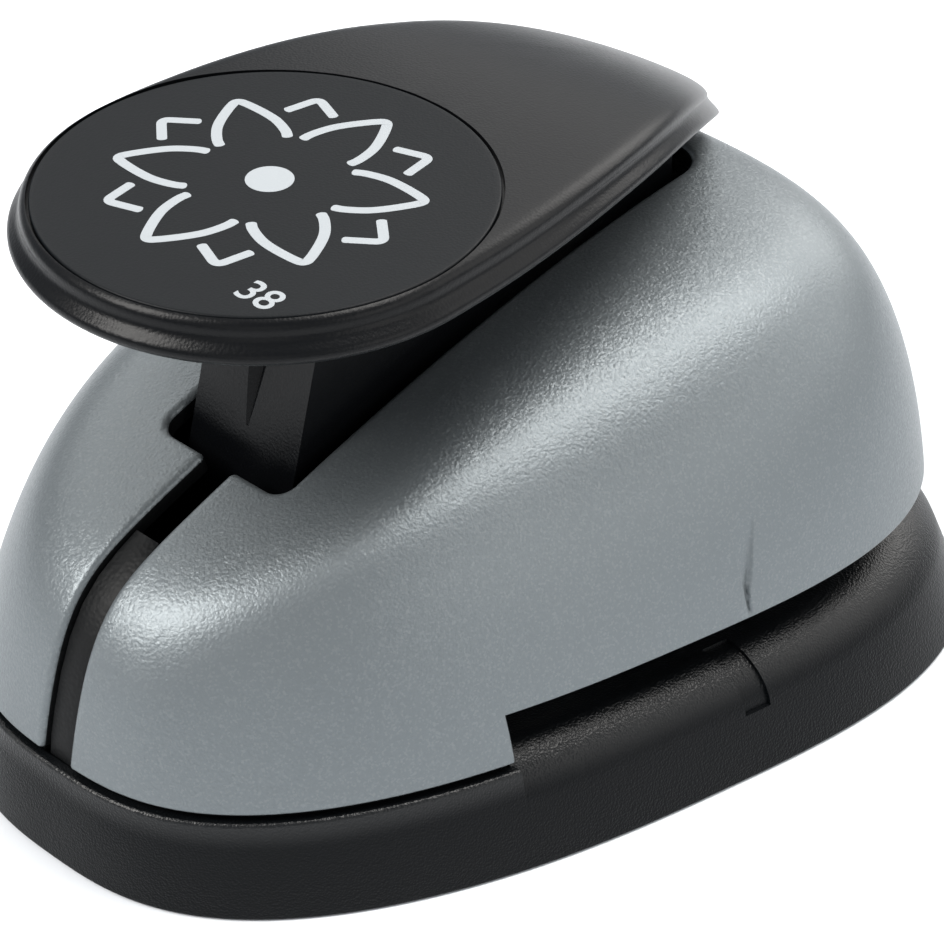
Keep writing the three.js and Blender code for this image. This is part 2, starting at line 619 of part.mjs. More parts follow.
function makeSpacer() {
  const plate = extruded(roundedRectangle(-GUIDE_FRONT_HALF_WIDTH, GUIDE_FRONT_HALF_WIDTH, GUIDE_FRONT_Y,
    SPACER_REAR_Y, DIE_CORNER), DECK_HEIGHT, GUIDE_BOTTOM);
  return bothSides(BASE_SCREW_PLACES).reduce((body, [x, y]) =>
    body.subtract(uprightCylinder(SCREW_RADIUS + FIT, 0, FLOOR_TOP, x, y, 12)), plate);
}

function makeGuidePlate() {
  const half = [
    [GUIDE_FRONT_HALF_WIDTH, GUIDE_FRONT_Y], [GUIDE_FRONT_HALF_WIDTH, SPACER_REAR_Y],
    [GUIDE_HALF_WIDTH, GUIDE_SHOULDER_Y], [GUIDE_HALF_WIDTH, GUIDE_REAR_Y - DIE_CORNER],
    [GUIDE_HALF_WIDTH - DIE_CORNER, GUIDE_REAR_Y],
  ];
  const otherHalf = half.map(([x, y]) => [-x, y]).reverse();
  const plate = extruded(outlineOf([...half, ...otherHalf]), GUIDE_BOTTOM, GUIDE_TOP);
  const flower = extruded(flowerOutline(0), 0, FLOOR_TOP);
  return bothSides(BASE_SCREW_PLACES).reduce((body, [x, y]) =>
    body.subtract(uprightCylinder(SCREW_RADIUS + FIT, 0, FLOOR_TOP, x, y, 12)), plate.subtract(flower));
}

// Inner frame

function makeFrame() {
  const inset = SHELL_WALL + FRAME_GAP;
  const floorRing = (z) => angles(INNER_SEGMENTS).map((angle) =>
    [...shellSectionPoint(angle, FLOOR_TOP, inset).slice(0, 2), z]);
  let frame = lofted([floorRing(GUIDE_TOP), floorRing(FLOOR_TOP)]);
  frame = frame.subtract(uprightCylinder(FRAME_OPENING_RADIUS, 0, PALM_TOP, 0, DIE_Y, 36));
  for (const side of [-1, 1]) {
    const x0 = Math.min(side * CHEEK_INNER, side * CHEEK_OUTER);
    frame = frame.add(crosswise(cheekOutline(), x0, x0 + CHEEK_THICKNESS));
  }
  const screwPosts = bothSides(BASE_SCREW_PLACES).map(([x, y]) =>
    uprightCylinder(BASE_SCREW_BOSS, GUIDE_TOP, FLOOR_TOP + SCREW_POST_HEIGHT, x, y, 14));
  frame = screwPosts.reduce((body, post) => body.add(post), frame);
  frame = frame.add(crosswise(spineOutline(), -SLIT_WIDTH / 2 + FIT, SLIT_WIDTH / 2 - FIT));
  frame = frame.subtract(crossCylinder(PIN_RADIUS + FIT / 2, PIN_HALF_LENGTH + OVERRUN, PIVOT_Y, PIVOT_Z));
  const holes = [
    ...bothSides(BASE_SCREW_PLACES).map(([x, y]) => uprightCylinder(SCREW_RADIUS + FIT, 0,
      baseScrewTop() + FIT, x, y, 12)),
    ...bothSides([SHELL_BOSS_FRONT, SHELL_BOSS_REAR]).map(([x, y]) => uprightCylinder(SCREW_RADIUS + FIT, 0,
      CROWN_HIGH_Z, x, y, 12)),
    ...bothSides([SHELL_BOSS_FRONT, SHELL_BOSS_REAR]).map(([x, y]) => uprightCylinder(SCREW_HEAD_RADIUS + FIT, 0,
      GUIDE_TOP + SHELL_SCREW_HEAD, x, y, 14)),
    ...bothSides([[POST_X, DIE_Y]]).map(([x, y]) => uprightCylinder(POST_RADIUS + FIT / 2, 0, CROWN_HIGH_Z, x, y, 16)),
  ];
  return holes.reduce((body, hole) => body.subtract(hole), frame);
}

function cheekOutline() {
  const shape = new THREE.Shape();
  shape.moveTo(PIVOT_Y - CHEEK_HALF_LENGTH, GUIDE_TOP);
  shape.lineTo(PIVOT_Y + CHEEK_HALF_LENGTH, GUIDE_TOP);
  shape.lineTo(PIVOT_Y + CHEEK_TOP_RADIUS, PIVOT_Z);
  shape.absarc(PIVOT_Y, PIVOT_Z, CHEEK_TOP_RADIUS, 0, Math.PI);
  return shape;
}

// The spine follows the shell's centre line at the low end, a little behind its surface.
function spineOutline() {
  const inset = SPINE_RECESS;
  const outline = [[SPINE_REAR_Y, RIM_HEIGHT]];
  const first = shellPoint(0, 1, inset);
  outline.push([first[1], RIM_HEIGHT]);
  for (let level = 1; level <= SHELL_LEVELS; level++) {
    const [, y, z] = shellPoint(0, 1 - (level / SHELL_LEVELS) ** 2, inset);
    if (y < SPINE_REAR_Y) outline.push([y, z]);
  }
  outline.push([SPINE_REAR_Y, crownHeight(SPINE_REAR_Y, inset)]);
  return outlineOf(outline);
}

// Ram

function makeHolder() {
  let holder = uprightCylinder(HOLDER_RADIUS, HOLDER_BOTTOM, HEAD_BOTTOM, 0, DIE_Y);
  holder = holder.add(uprightCylinder(HOLDER_HEAD_RADIUS, HEAD_BOTTOM, HEAD_TOP, 0, DIE_Y));
  const arm = block(-POST_X, POST_X, DIE_Y - EAR_HALF_WIDTH, DIE_Y + EAR_HALF_WIDTH, EAR_BOTTOM, HEAD_BOTTOM);
  holder = holder.add(arm);
  for (const [x, y] of bothSides([[POST_X, DIE_Y]])) {
    holder = holder.add(uprightCylinder(EAR_HALF_WIDTH, EAR_BOTTOM, HEAD_BOTTOM, x, y, 16));
    holder = holder.subtract(uprightCylinder(POST_RADIUS + FIT / 2, 0, CROWN_HIGH_Z, x, y, 16));
  }
  for (const [x, y] of cutterScrewPlaces()) {
    holder = holder.subtract(uprightCylinder(SCREW_RADIUS + FIT, 0, CROWN_HIGH_Z, x, y, 12));
    holder = holder.subtract(uprightCylinder(SCREW_HEAD_RADIUS + FIT, cutterScrewSeat(), CROWN_HIGH_Z, x, y, 12));
  }
  return holder;
}

function cutterScrewPlaces() {
  return bothSides([[HOLDER_HEAD_RADIUS + SCREW_HEAD_RADIUS + 2 * FIT, DIE_Y]]);
}

function cutterScrewSeat() {
  return HEAD_BOTTOM - CUTTER_SCREW_HEAD - FIT;
}

function makeCutter() {
  const cutter = extruded(flowerOutline(-CUT_CLEARANCE), CUTTER_BOTTOM, HOLDER_BOTTOM);
  return cutterScrewPlaces().reduce((body, [x, y]) => body.subtract(uprightCylinder(SCREW_RADIUS + FIT,
    HOLDER_BOTTOM - CUTTER_SCREW_BITE, HOLDER_BOTTOM + OVERRUN, x, y, 12)), cutter);
}

class Coil extends THREE.Curve {
  constructor(radius, height, turns) {
    super();
    Object.assign(this, { radius, height, turns });
  }

  getPoint(t, target = new THREE.Vector3()) {
    const angle = 2 * Math.PI * this.turns * t;
    return target.set(this.radius * Math.cos(angle), this.radius * Math.sin(angle), this.height * t);
  }
}

function makeSpring(x) {
  const bottom = FLOOR_TOP + FIT + SPRING_WIRE / 2;
  const height = EAR_BOTTOM - FIT - SPRING_WIRE / 2 - bottom;
  const wire = new THREE.Shape();
  wire.absarc(0, 0, SPRING_WIRE / 2, 0, 2 * Math.PI);
  const geometry = new THREE.ExtrudeGeometry(wire, {
    steps: SPRING_TURNS * 8, curveSegments: 3, bevelEnabled: false,
    extrudePath: new Coil(SPRING_RADIUS, height, SPRING_TURNS),
  });
  return toSolid(moved(geometry, x, DIE_Y, bottom));
}

// Lever

function leverPoint(angle, inset) {
  const radius = PALM_RADIUS - inset;
  const cos = Math.cos(angle);
  if (cos >= 0) return [radius * Math.sin(angle), PALM_Y - radius * cos];
  const tail = TAIL_LENGTH - inset * TAIL_INSET_FACTOR;
  return [radius * signedPower(Math.sin(angle), TAIL_POWER), PALM_Y - tail * cos];
}

function tailShare(y) {
  return Math.min(1, Math.max(0, (y - TAIL_BEND_Y) / (PALM_Y + TAIL_LENGTH - TAIL_BEND_Y)));
}

function leverTop(x, y) {
  const along = Math.min(1, Math.max(0, (y - PALM_Y) / TAIL_LENGTH));
  const halfWidth = PALM_RADIUS * (1 - along ** 2) ** (TAIL_POWER / 2) + OVERRUN;
  const share = tailShare(y);
  const crown = TAIL_CROWN * Math.min(1, (x / halfWidth) ** 2) * Math.min(1, 2 * share);
  return PALM_TOP - TAIL_DROP * share ** TAIL_DROP_POWER - crown;
}

function plateRing(inset, dropShare, spread = 1) {
  return angles(PLAN_SEGMENTS).map((angle) => {
    const [edgeX, edgeY] = leverPoint(angle, inset);
    const x = edgeX * spread;
    const y = PALM_Y + (edgeY - PALM_Y) * spread;
    const depth = PLATE_EDGE * (1 - TAIL_THIN_SHARE * tailShare(y));
    return [x, y, leverTop(x, y) - depth * dropShare];
  });
}

// Rolled edge of the plate as shares of its lip and its depth: how far in, and how far down.
// From below: the lip's inner wall, the lip, the groove over it, the ridge and the roll to the top.
const EDGE_SHARES = [
  [1, 0.5], [0.9, 0.93], [0.32, 1], [0.05, 0.9], [0, 0.78], [0.11, 0.58],
  [0.25, 0.39], [0.25, 0.28], [0.36, 0.09], [0.52, 0.02], [0.84, 0],
];
const INNER_SHARES = [0.78, 0.54, 0.3, 0.1];
const TOP_INSET_SHARE = EDGE_SHARES[EDGE_SHARES.length - 1][0];

function makePlate() {
  const under = [...INNER_SHARES].reverse().map((share) => plateRing(PLATE_LIP, UNDER_SHARE, share));
  const edge = EDGE_SHARES.map(([inShare, downShare]) => plateRing(PLATE_LIP * inShare, downShare));
  const over = INNER_SHARES.map((share) => plateRing(PLATE_LIP * TOP_INSET_SHARE, 0, share));
  return lofted([...under, ...edge, ...over]);
}

function webOutline() {
  const topAt = (y) => leverTop(0, y) - PLATE_EDGE * (1 - TAIL_THIN_SHARE * tailShare(y)) * WEB_SINK_SHARE;
  const frontTop = topAt(LEG_FRONT_Y);
  const frontTopY = LEG_FRONT_Y + (frontTop - PIVOT_Z) * LEG_FRONT_LEAN;
  const outline = [[LEG_FRONT_Y, LEG_BOTTOM], [LEG_REAR_Y, LEG_BOTTOM], [LEG_REAR_Y + 2 * FIT, WEB_BOTTOM]];
  outline.push([PIVOT_Y, WEB_BOTTOM], [PIVOT_Y, PIVOT_Z + HUB_RADIUS - FIT], [WEB_REAR_Y, PIVOT_Z + HUB_RADIUS - FIT]);
  for (let step = 0; step <= TOP_STEPS; step++) {
    const y = WEB_REAR_Y + (frontTopY - WEB_REAR_Y) * step / TOP_STEPS;
    outline.push([y, topAt(y)]);
  }
  outline.push([LEG_FRONT_Y, PIVOT_Z]);
  return outlineOf(outline);
}

function makeLever() {
  const web = crosswise(webOutline(), -LEG_HALF_WIDTH, LEG_HALF_WIDTH);
  const hub = crossCylinder(HUB_RADIUS, HUB_HALF_WIDTH, PIVOT_Y, PIVOT_Z);
  const foot = crossCylinder(FOOT_RADIUS, LEG_HALF_WIDTH, DIE_Y, FOOT_Z);
  let lever = makePlate().add(web).add(hub).add(foot);
  const ceiling = PALM_TOP - PLATE_EDGE - LEG_WALL;
  const inside = LEG_HALF_WIDTH - LEG_WALL;
  const frontCavity = block(-inside, inside, LEG_FRONT_Y + GROOVE_DEPTH + CAVITY_FRONT_WALLS * LEG_WALL,
    DIE_Y - FOOT_RADIUS - LEG_WALL, LEG_BOTTOM - OVERRUN, ceiling);
  const rearCavity = block(-inside, inside, DIE_Y + FOOT_RADIUS + LEG_WALL, WEB_REAR_Y - LEG_WALL - LEG_WALL,
    WEB_BOTTOM - OVERRUN, PALM_TOP - TAIL_DROP / 2 - PLATE_EDGE);
  lever = lever.subtract(frontCavity).subtract(rearCavity).subtract(grooveSolid());
  const pocket = uprightCylinder(DISC_RADIUS, PALM_TOP - DISC_POCKET, PALM_TOP + OVERRUN, 0, PALM_Y, 48);
  lever = lever.subtract(pocket);
  return lever.subtract(crossCylinder(PIN_RADIUS + FIT / 2, PIN_HALF_LENGTH, PIVOT_Y, PIVOT_Z));
}

// The wedge-shaped hollow down the front face of the leg, wide at the top and pointed below.
function grooveSolid() {
  const face = (z) => LEG_FRONT_Y + Math.max(0, z - PIVOT_Z) * LEG_FRONT_LEAN;
  const wedge = (z, width, depth) => [
    [-width / 2, face(z) - OVERRUN, z], [width / 2, face(z) - OVERRUN, z],
    [width / 2, face(z), z], [0, face(z) + depth, z], [-width / 2, face(z), z],
  ];
  const top = GROOVE_TOP_Z;
  const middle = (GROOVE_TIP_Z + top) / 2;
  return lofted([
    wedge(GROOVE_TIP_Z, FIT, FIT), wedge(middle, GROOVE_WIDTH * GROOVE_MIDDLE_SHARE, GROOVE_DEPTH * GROOVE_MIDDLE_SHARE),
    wedge(top, GROOVE_WIDTH, GROOVE_DEPTH),
  ]);
}

function makeDisc() {
  const bottom = PALM_TOP - DISC_POCKET;
  return uprightCylinder(DISC_RADIUS - FIT, bottom, bottom + DISC_THICKNESS, 0, PALM_Y, 48);
}

function makePin() {
  return crossCylinder(PIN_RADIUS, PIN_HALF_LENGTH, PIVOT_Y, PIVOT_Z, 24);
}

// A snap ring with an open mouth, in the plane across the pin.
function makeClip(side) {
  const ring = new THREE.Shape();
  const inner = PIN_RADIUS + FIT / 2;
  const half = Math.asin(CLIP_MOUTH / 2 / CLIP_RADIUS);
  const innerHalf = Math.asin(CLIP_MOUTH / 2 / inner);
  ring.absarc(PIVOT_Y, PIVOT_Z, CLIP_RADIUS, half - Math.PI / 2, 1.5 * Math.PI - half);
  ring.absarc(PIVOT_Y, PIVOT_Z, inner, 1.5 * Math.PI - innerHalf, innerHalf - Math.PI / 2, true);
  const near = CHEEK_OUTER + FIT;
  const x0 = side > 0 ? near : -near - CLIP_THICKNESS;
  return crosswise(ring, x0, x0 + CLIP_THICKNESS, 14);
}

// Screws: a shank with a socket head, pointing up or down.

function screw(x, y, seat, tip, headRadius, head) {
  const up = tip > seat;
  const headEnd = up ? seat - head : seat + head;
  const shank = uprightCylinder(SCREW_RADIUS, Math.min(seat, tip), Math.max(seat, tip), x, y, 12);
  const cap = uprightCylinder(headRadius, Math.min(seat, headEnd), Math.max(seat, headEnd), x, y, 14);
  const depth = Math.min(SCREW_SOCKET, head / 2);
  const socket = up
    ? uprightCylinder(SCREW_SOCKET_RADIUS, headEnd - OVERRUN, headEnd + depth, x, y, 6)
    : uprightCylinder(SCREW_SOCKET_RADIUS, headEnd - depth, headEnd + OVERRUN, x, y, 6);
  return shank.add(cap).subtract(socket);
}

function baseScrewTop() {
  return FLOOR_TOP + SCREW_POST_HEIGHT - FRAME_FLOOR;
}

function shellScrewTop() {
  return FLOOR_TOP + SHELL_BOSS_RADIUS * 2;
}

// Assembly

const root = new THREE.Group();
const fixed = new THREE.Group();
const lever = new THREE.Group();
const ram = new THREE.Group();
root.add(fixed, lever, ram);

fixed.add(toMesh("base", makeBase(), finish.black));
fixed.add(toMesh("die_plate", makeDie(), finish.steel));
fixed.add(toMesh("throat_spacer", makeSpacer(), finish.black));
fixed.add(toMesh("guide_plate", makeGuidePlate(), finish.steel));
fixed.add(toMesh("inner_frame", makeFrame(), finish.black));
fixed.add(toMesh("upper_shell", makeShell(), finish.silver));
for (const [side, name] of [[-1, "left"], [1, "right"]]) {
  fixed.add(toMesh(`guide_post_${name}`, uprightCylinder(POST_RADIUS, GUIDE_TOP, GUIDE_TOP + POST_HEIGHT,
    side * POST_X, DIE_Y, 16), finish.steel));
  fixed.add(toMesh(`return_spring_${name}`, makeSpring(side * POST_X), finish.steel));
  fixed.add(toMesh(`pin_clip_${name}`, makeClip(side), finish.steel));
}
fixed.add(toMesh("pivot_pin", makePin(), finish.steel));
bothSides(BASE_SCREW_PLACES).forEach(([x, y], i) => {
  fixed.add(toMesh(`base_screw_${i + 1}`, screw(x, y, BASE_SCREW_SEAT, baseScrewTop(), SCREW_HEAD_RADIUS,
    SCREW_HEAD), finish.steel));
});
bothSides([SHELL_BOSS_FRONT, SHELL_BOSS_REAR]).forEach(([x, y], i) => {
  fixed.add(toMesh(`shell_screw_${i + 1}`, screw(x, y, GUIDE_TOP + SHELL_SCREW_HEAD, shellScrewTop(),
    SCREW_HEAD_RADIUS, SHELL_SCREW_HEAD), finish.steel));
});
dieScrewPlaces().forEach(([x, y], i) => {
  fixed.add(toMesh(`die_screw_${i + 1}`, screw(x, y, DECK_HEIGHT - DIE_SCREW_HEAD, dieScrewTip(),
    DIE_SCREW_HEAD_RADIUS, DIE_SCREW_HEAD), finish.steel));
});

lever.add(toMesh("lever", makeLever(), finish.charcoal));
lever.add(toMesh("palm_disc", makeDisc(), finish.disc));

ram.add(toMesh("punch_holder", makeHolder(), finish.zinc));
ram.add(toMesh("punch_cutter", makeCutter(), finish.steel));
cutterScrewPlaces().forEach(([x, y], i) => {
  ram.add(toMesh(`cutter_screw_${i + 1}`, screw(x, y, cutterScrewSeat(), HOLDER_BOTTOM - CUTTER_SCREW_BITE + FIT,
    SCREW_HEAD_RADIUS, CUTTER_SCREW_HEAD), finish.steel));
});

export default root;
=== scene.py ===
"""Palm-lever craft punch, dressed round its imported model.

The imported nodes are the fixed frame. This script makes the moulded surfaces, the finishes, the
light and the camera. Sizes in the classes are millimetres: the low end with the slit points to
-Y, the tall end with the paper throat to +Y, and +Z is up.
"""

from __future__ import annotations

import logging
import math
from collections.abc import Callable, Sequence
from dataclasses import dataclass, field
from enum import Enum

import bmesh
import bpy
import numpy as np
from bpy.types import Material, Node, NodeTree, Object
from mathutils import Matrix, Vector


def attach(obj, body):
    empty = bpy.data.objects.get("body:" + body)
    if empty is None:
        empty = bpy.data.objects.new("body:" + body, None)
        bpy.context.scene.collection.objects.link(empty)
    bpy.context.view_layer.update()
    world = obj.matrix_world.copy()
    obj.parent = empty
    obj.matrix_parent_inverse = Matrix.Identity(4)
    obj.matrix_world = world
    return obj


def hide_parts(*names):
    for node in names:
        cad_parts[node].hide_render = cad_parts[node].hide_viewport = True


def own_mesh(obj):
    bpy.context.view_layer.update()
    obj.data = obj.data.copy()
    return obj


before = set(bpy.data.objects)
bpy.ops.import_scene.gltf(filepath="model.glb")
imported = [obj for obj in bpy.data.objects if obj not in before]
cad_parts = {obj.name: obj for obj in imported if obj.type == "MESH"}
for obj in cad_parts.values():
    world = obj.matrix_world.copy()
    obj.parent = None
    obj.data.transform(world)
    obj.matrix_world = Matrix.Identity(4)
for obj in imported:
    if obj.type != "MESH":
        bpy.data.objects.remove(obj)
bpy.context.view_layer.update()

Points = np.ndarray
Faces = list[list[int]]
Shape = tuple[Points, Faces]
Pair = tuple[float, float]
Pairs = tuple[Pair, ...]
Socket = tuple[Node, str | int]
Names = dict[str, str]

LOG = logging.getLogger("craft_punch")
MM = 0.001
QUARTER_TURN = math.pi / 2
HALF_TURN = math.pi
FULL_TURN = 2 * math.pi
MERGE_DISTANCE = 2e-6
SHARP_DEGREES = 32.0
BEVEL_DEGREES = 40.0
FLAT_DEGREES = 0.5

# Places and sizes that more than one piece uses, in millimetres
MOTIF_Y = 5.0
PIVOT = (37.0, 34.5)
PALM_Y = -22.7
POST_X = 25.0
DIE_REACH = 22.6
CUTTER_SCREWS = ((10.3, MOTIF_Y),)
BASE_SCREWS = ((8.0, -35.4), (18.5, -30.5))
SHELL_SCREWS = ((13.5, -43.2), (27.0, 29.0))
DIE_SCREWS = tuple((x * DIE_REACH, MOTIF_Y + y * DIE_REACH) for x, y in ((-1, -1), (1, -1), (1, 1), (-1, 1)))
SCREW_HOLE = 1.8
THROUGH = (0.0, 40.0)


class Body(Enum):
    """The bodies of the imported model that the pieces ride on."""

    FIXED = "body"
    LEVER = "lever_arm"
    RAM = "ram"


class Join(Enum):
    """What happens where two solids meet."""

    CUT = "DIFFERENCE"
    KEEP = "INTERSECT"
    ADD = "UNION"


class Axis(Enum):
    """The direction in which an outline gets its thickness."""

    X = "x"
    Z = "z"


# Nodes and colours


def linear(colour: str) -> tuple[float, float, float, float]:
    """Turns an sRGB hex colour to linear values.

    Args:
        colour: Six hex digits with a leading hash.

    Returns:
        Red, green, blue and an alpha of one.
    """
    channels = [int(colour[i : i + 2], 16) / 255 for i in (1, 3, 5)]
    turned = [c / 12.92 if c <= 0.04045 else ((c + 0.055) / 1.055) ** 2.4 for c in channels]
    return (*turned, 1.0)


def add(
    tree: NodeTree,
    kind: str,
    settings: dict[str, object] | None = None,
    inputs: dict[str | int, object] | None = None,
) -> Node:
    """Adds a node with its settings, its values and its links.

    Args:
        tree: The tree that gets the node.
        kind: The node's type.
        settings: Attributes of the node.
        inputs: Values by input name or number; a pair of node and output name is a link.

    Returns:
        The new node.
    """
    node = tree.nodes.new(kind)
    for name, value in (settings or {}).items():
        setattr(node, name, value)
    for name, value in (inputs or {}).items():
        if isinstance(value, tuple) and value and isinstance(value[0], Node):
            tree.links.new(value[0].outputs[value[1]], node.inputs[name])
        else:
            node.inputs[name].default_value = value
    return node


# Finishes


@dataclass(frozen=True)
class Coat:
    """A built material, and the record's slot that it fills."""

    material: Material
    slot: str


@dataclass(frozen=True)
class Drawing:
    """What a finish draws on its surface.

    Attributes:
        gloss: Pattern between nought and one that varies the roughness.
        height: Pattern that lifts the surface.
        colour: The colour, where it isn't plain.
        lean: What is added to the normal, where something leans.
        specular: Strength of the reflection, where it isn't the same all over.
    """

    gloss: Socket
    height: Socket
    colour: Socket | None = None
    lean: Socket | None = None
    specular: Socket | None = None


@dataclass(frozen=True)
class Finish:
    """A finish with one colour, one gloss and a fine grain.

    Attributes:
        name: The material's name.
        slot: The record's material slot.
        colour: sRGB hex colour.
        roughness: Roughness of the surface.
        metallic: Metallic share.
        grain_mm: Size of one bump of the grain.
        grain_depth: Strength of the grain's bump.
        grain_rise: Height of a bump as a share of its size.
        mottle: How far the pattern changes the roughness.
        specular: Strength of the reflection at right angles, 0.5 for an IOR of 1.5.
    """

    name: str
    slot: str
    colour: str
    roughness: float
    metallic: float = 0.0
    grain_mm: float = 0.35
    grain_depth: float = 0.1
    grain_rise: float = 1.0
    mottle: float = 0.06
    specular: float = 0.5

    def draw(self, tree: NodeTree, place: Socket) -> Drawing:
        """Draws the grain.

        Args:
            tree: The material's tree.
            place: The place on the piece.

        Returns:
            The patterns.
        """
        grain = add(tree, "ShaderNodeTexNoise", inputs={
            "Vector": place, "Scale": 1 / (self.grain_mm * MM), "Detail": 2.0})
        return Drawing((grain, "Fac"), (grain, "Fac"))

    def build(self) -> Coat:
        """Makes the material from its values and its drawing."""
        material = bpy.data.materials.new(self.name)
        material.use_nodes = True
        tree = material.node_tree
        shader = tree.nodes["Principled BSDF"]
        for socket, value in (("Base Color", linear(self.colour)), ("Metallic", self.metallic),
                              ("Roughness", self.roughness), ("Specular IOR Level", self.specular)):
            shader.inputs[socket].default_value = value
        drawing = self.draw(tree, (add(tree, "ShaderNodeTexCoord"), "Object"))
        spread = add(tree, "ShaderNodeMapRange", inputs={
            "Value": drawing.gloss, "To Min": self.roughness - self.mottle,
            "To Max": self.roughness + self.mottle})
        relief = add(tree, "ShaderNodeBump", inputs={
            "Height": drawing.height, "Strength": self.grain_depth,
            "Distance": self.grain_mm * MM * self.grain_rise})
        normal = (relief, "Normal")
        if drawing.lean:
            leaning = add(tree, "ShaderNodeVectorMath", {"operation": "ADD"}, {0: normal, 1: drawing.lean})
            unit = add(tree, "ShaderNodeVectorMath", {"operation": "NORMALIZE"}, {0: (leaning, "Vector")})
            normal = (unit, "Vector")
        sources = {"Roughness": (spread, "Result"), "Normal": normal,
                   "Base Color": drawing.colour, "Specular IOR Level": drawing.specular}
        for socket, source in sources.items():
            if source:
                tree.links.new(source[0].outputs[source[1]], shader.inputs[socket])
        return Coat(material, self.slot)


@dataclass(frozen=True)
class MouldedPlastic(Finish):
    """ABS from a spark-eroded mould: a fine grain that breaks up the highlights, and a soft sheen.

    Attributes:
        cloud_mm: Size of the faint clouds that handling leaves in the gloss and the colour.
        cloud_share: How far the clouds lighten and darken the colour.
        grain_share: Share of the grain in what varies the roughness.
        cell_softness: How far the cells of the grain run into each other.
        rubbed_mm: Heights between which the wall's dull skin turns into a rubbed rim.
        rubbed_specular: Strength of the reflection on the rubbed rim, or nought for no rim.
    """

    grain_rise: float = 0.5
    cloud_mm: float = 14.0
    cloud_share: float = 0.08
    grain_share: float = 0.45
    cell_softness: float = 0.6
    rubbed_mm: Pair = (0.0, 1.0)
    rubbed_specular: float = 0.0

    def draw(self, tree: NodeTree, place: Socket) -> Drawing:
        """Draws the grain, the clouds and the rubbed rim.

        Args:
            tree: The material's tree.
            place: The place on the piece.

        Returns:
            The patterns.
        """
        cells = add(tree, "ShaderNodeTexVoronoi", {"feature": "SMOOTH_F1"}, {
            "Vector": place, "Scale": 1 / (self.grain_mm * MM), "Smoothness": self.cell_softness})
        clouds = add(tree, "ShaderNodeTexNoise", inputs={
            "Vector": place, "Scale": 1 / (self.cloud_mm * MM), "Detail": 4.0})
        both = add(tree, "ShaderNodeMix", {"data_type": "FLOAT"}, {
            0: self.grain_share, 2: (clouds, "Fac"), 3: (cells, "Distance")})
        shade = add(tree, "ShaderNodeMapRange", inputs={
            "Value": (clouds, "Fac"), "To Min": 1 - self.cloud_share, "To Max": 1 + self.cloud_share})
        tint = add(tree, "ShaderNodeMix", {"data_type": "RGBA", "blend_type": "MULTIPLY"}, {
            0: 1.0, 6: linear(self.colour), 7: (shade, "Result")})
        specular = None
        if self.rubbed_specular:
            low, high = self.rubbed_mm
            axes = add(tree, "ShaderNodeSeparateXYZ", inputs={"Vector": place})
            rim = add(tree, "ShaderNodeMapRange", {"interpolation_type": "SMOOTHSTEP"}, {
                "Value": (axes, "Z"), "From Min": low * MM, "From Max": high * MM,
                "To Min": self.specular, "To Max": self.rubbed_specular})
            specular = (rim, "Result")
        return Drawing((both, "Result"), (cells, "Distance"), (tint, 2), specular=specular)


@dataclass(frozen=True)
class PearlCoat(Finish):
    """Silver pearl lacquer on ABS: mica flakes glint in the highlights over an eggshell grain.

    Attributes:
        flake_mm: Size of a group of flakes. One flake is finer than the render can show.
        flake_tilt: How far the flakes lean from the surface.
        flake_share: How far the brightest flakes lighten the colour.
        flake_rare: Share of the flakes that stay dark.
        flake_colour: Colour of the flakes that catch the light.
    """

    flake_mm: float = 0.22
    flake_tilt: float = 0.1
    flake_share: float = 0.05
    flake_rare: float = 0.62
    flake_colour: str = "#c9ccca"

    def draw(self, tree: NodeTree, place: Socket) -> Drawing:
        """Draws the grain and the flakes, which tilt the normal and lighten the colour.

        Args:
            tree: The material's tree.
            place: The place on the piece.

        Returns:
            The patterns.
        """
        grain = add(tree, "ShaderNodeTexNoise", inputs={
            "Vector": place, "Scale": 1 / (self.grain_mm * MM), "Detail": 3.0})
        flakes = add(tree, "ShaderNodeTexVoronoi", inputs={
            "Vector": place, "Scale": 1 / (self.flake_mm * MM)})
        pick = add(tree, "ShaderNodeSeparateColor", inputs={"Color": (flakes, "Color")})
        bright = add(tree, "ShaderNodeMapRange", {"interpolation_type": "SMOOTHSTEP"}, {
            "Value": (pick, "Red"), "From Min": self.flake_rare, "To Max": self.flake_share})
        tint = add(tree, "ShaderNodeMix", {"data_type": "RGBA"}, {
            0: (bright, "Result"), 6: linear(self.colour), 7: linear(self.flake_colour)})
        centred = add(tree, "ShaderNodeVectorMath", {"operation": "SUBTRACT"}, {
            0: (flakes, "Color"), 1: (0.5, 0.5, 0.5)})
        lean = add(tree, "ShaderNodeVectorMath", {"operation": "SCALE"}, {
            0: (centred, "Vector"), "Scale": self.flake_tilt})
        return Drawing((grain, "Fac"), (grain, "Fac"), (tint, 2), (lean, "Vector"))


@dataclass(frozen=True)
class WorkedSteel(Finish):
    """Steel with the fine lines of grinding or drawing along one direction.

    Attributes:
        lines: How far the pattern is stretched along X, Y and Z.
    """

    metallic: float = 1.0
    grain_rise: float = 0.3
    lines: tuple[float, float, float] = (0.04, 1.0, 1.0)

    def draw(self, tree: NodeTree, place: Socket) -> Drawing:
        """Draws the lines.

        Args:
            tree: The material's tree.
            place: The place on the piece.

        Returns:
            The patterns.
        """
        along = add(tree, "ShaderNodeMapping", inputs={"Vector": place, "Scale": self.lines})
        noise = add(tree, "ShaderNodeTexNoise", inputs={
            "Vector": (along, "Vector"), "Scale": 1 / (self.grain_mm * MM), "Detail": 4.0})
        return Drawing((noise, "Fac"), (noise, "Fac"))


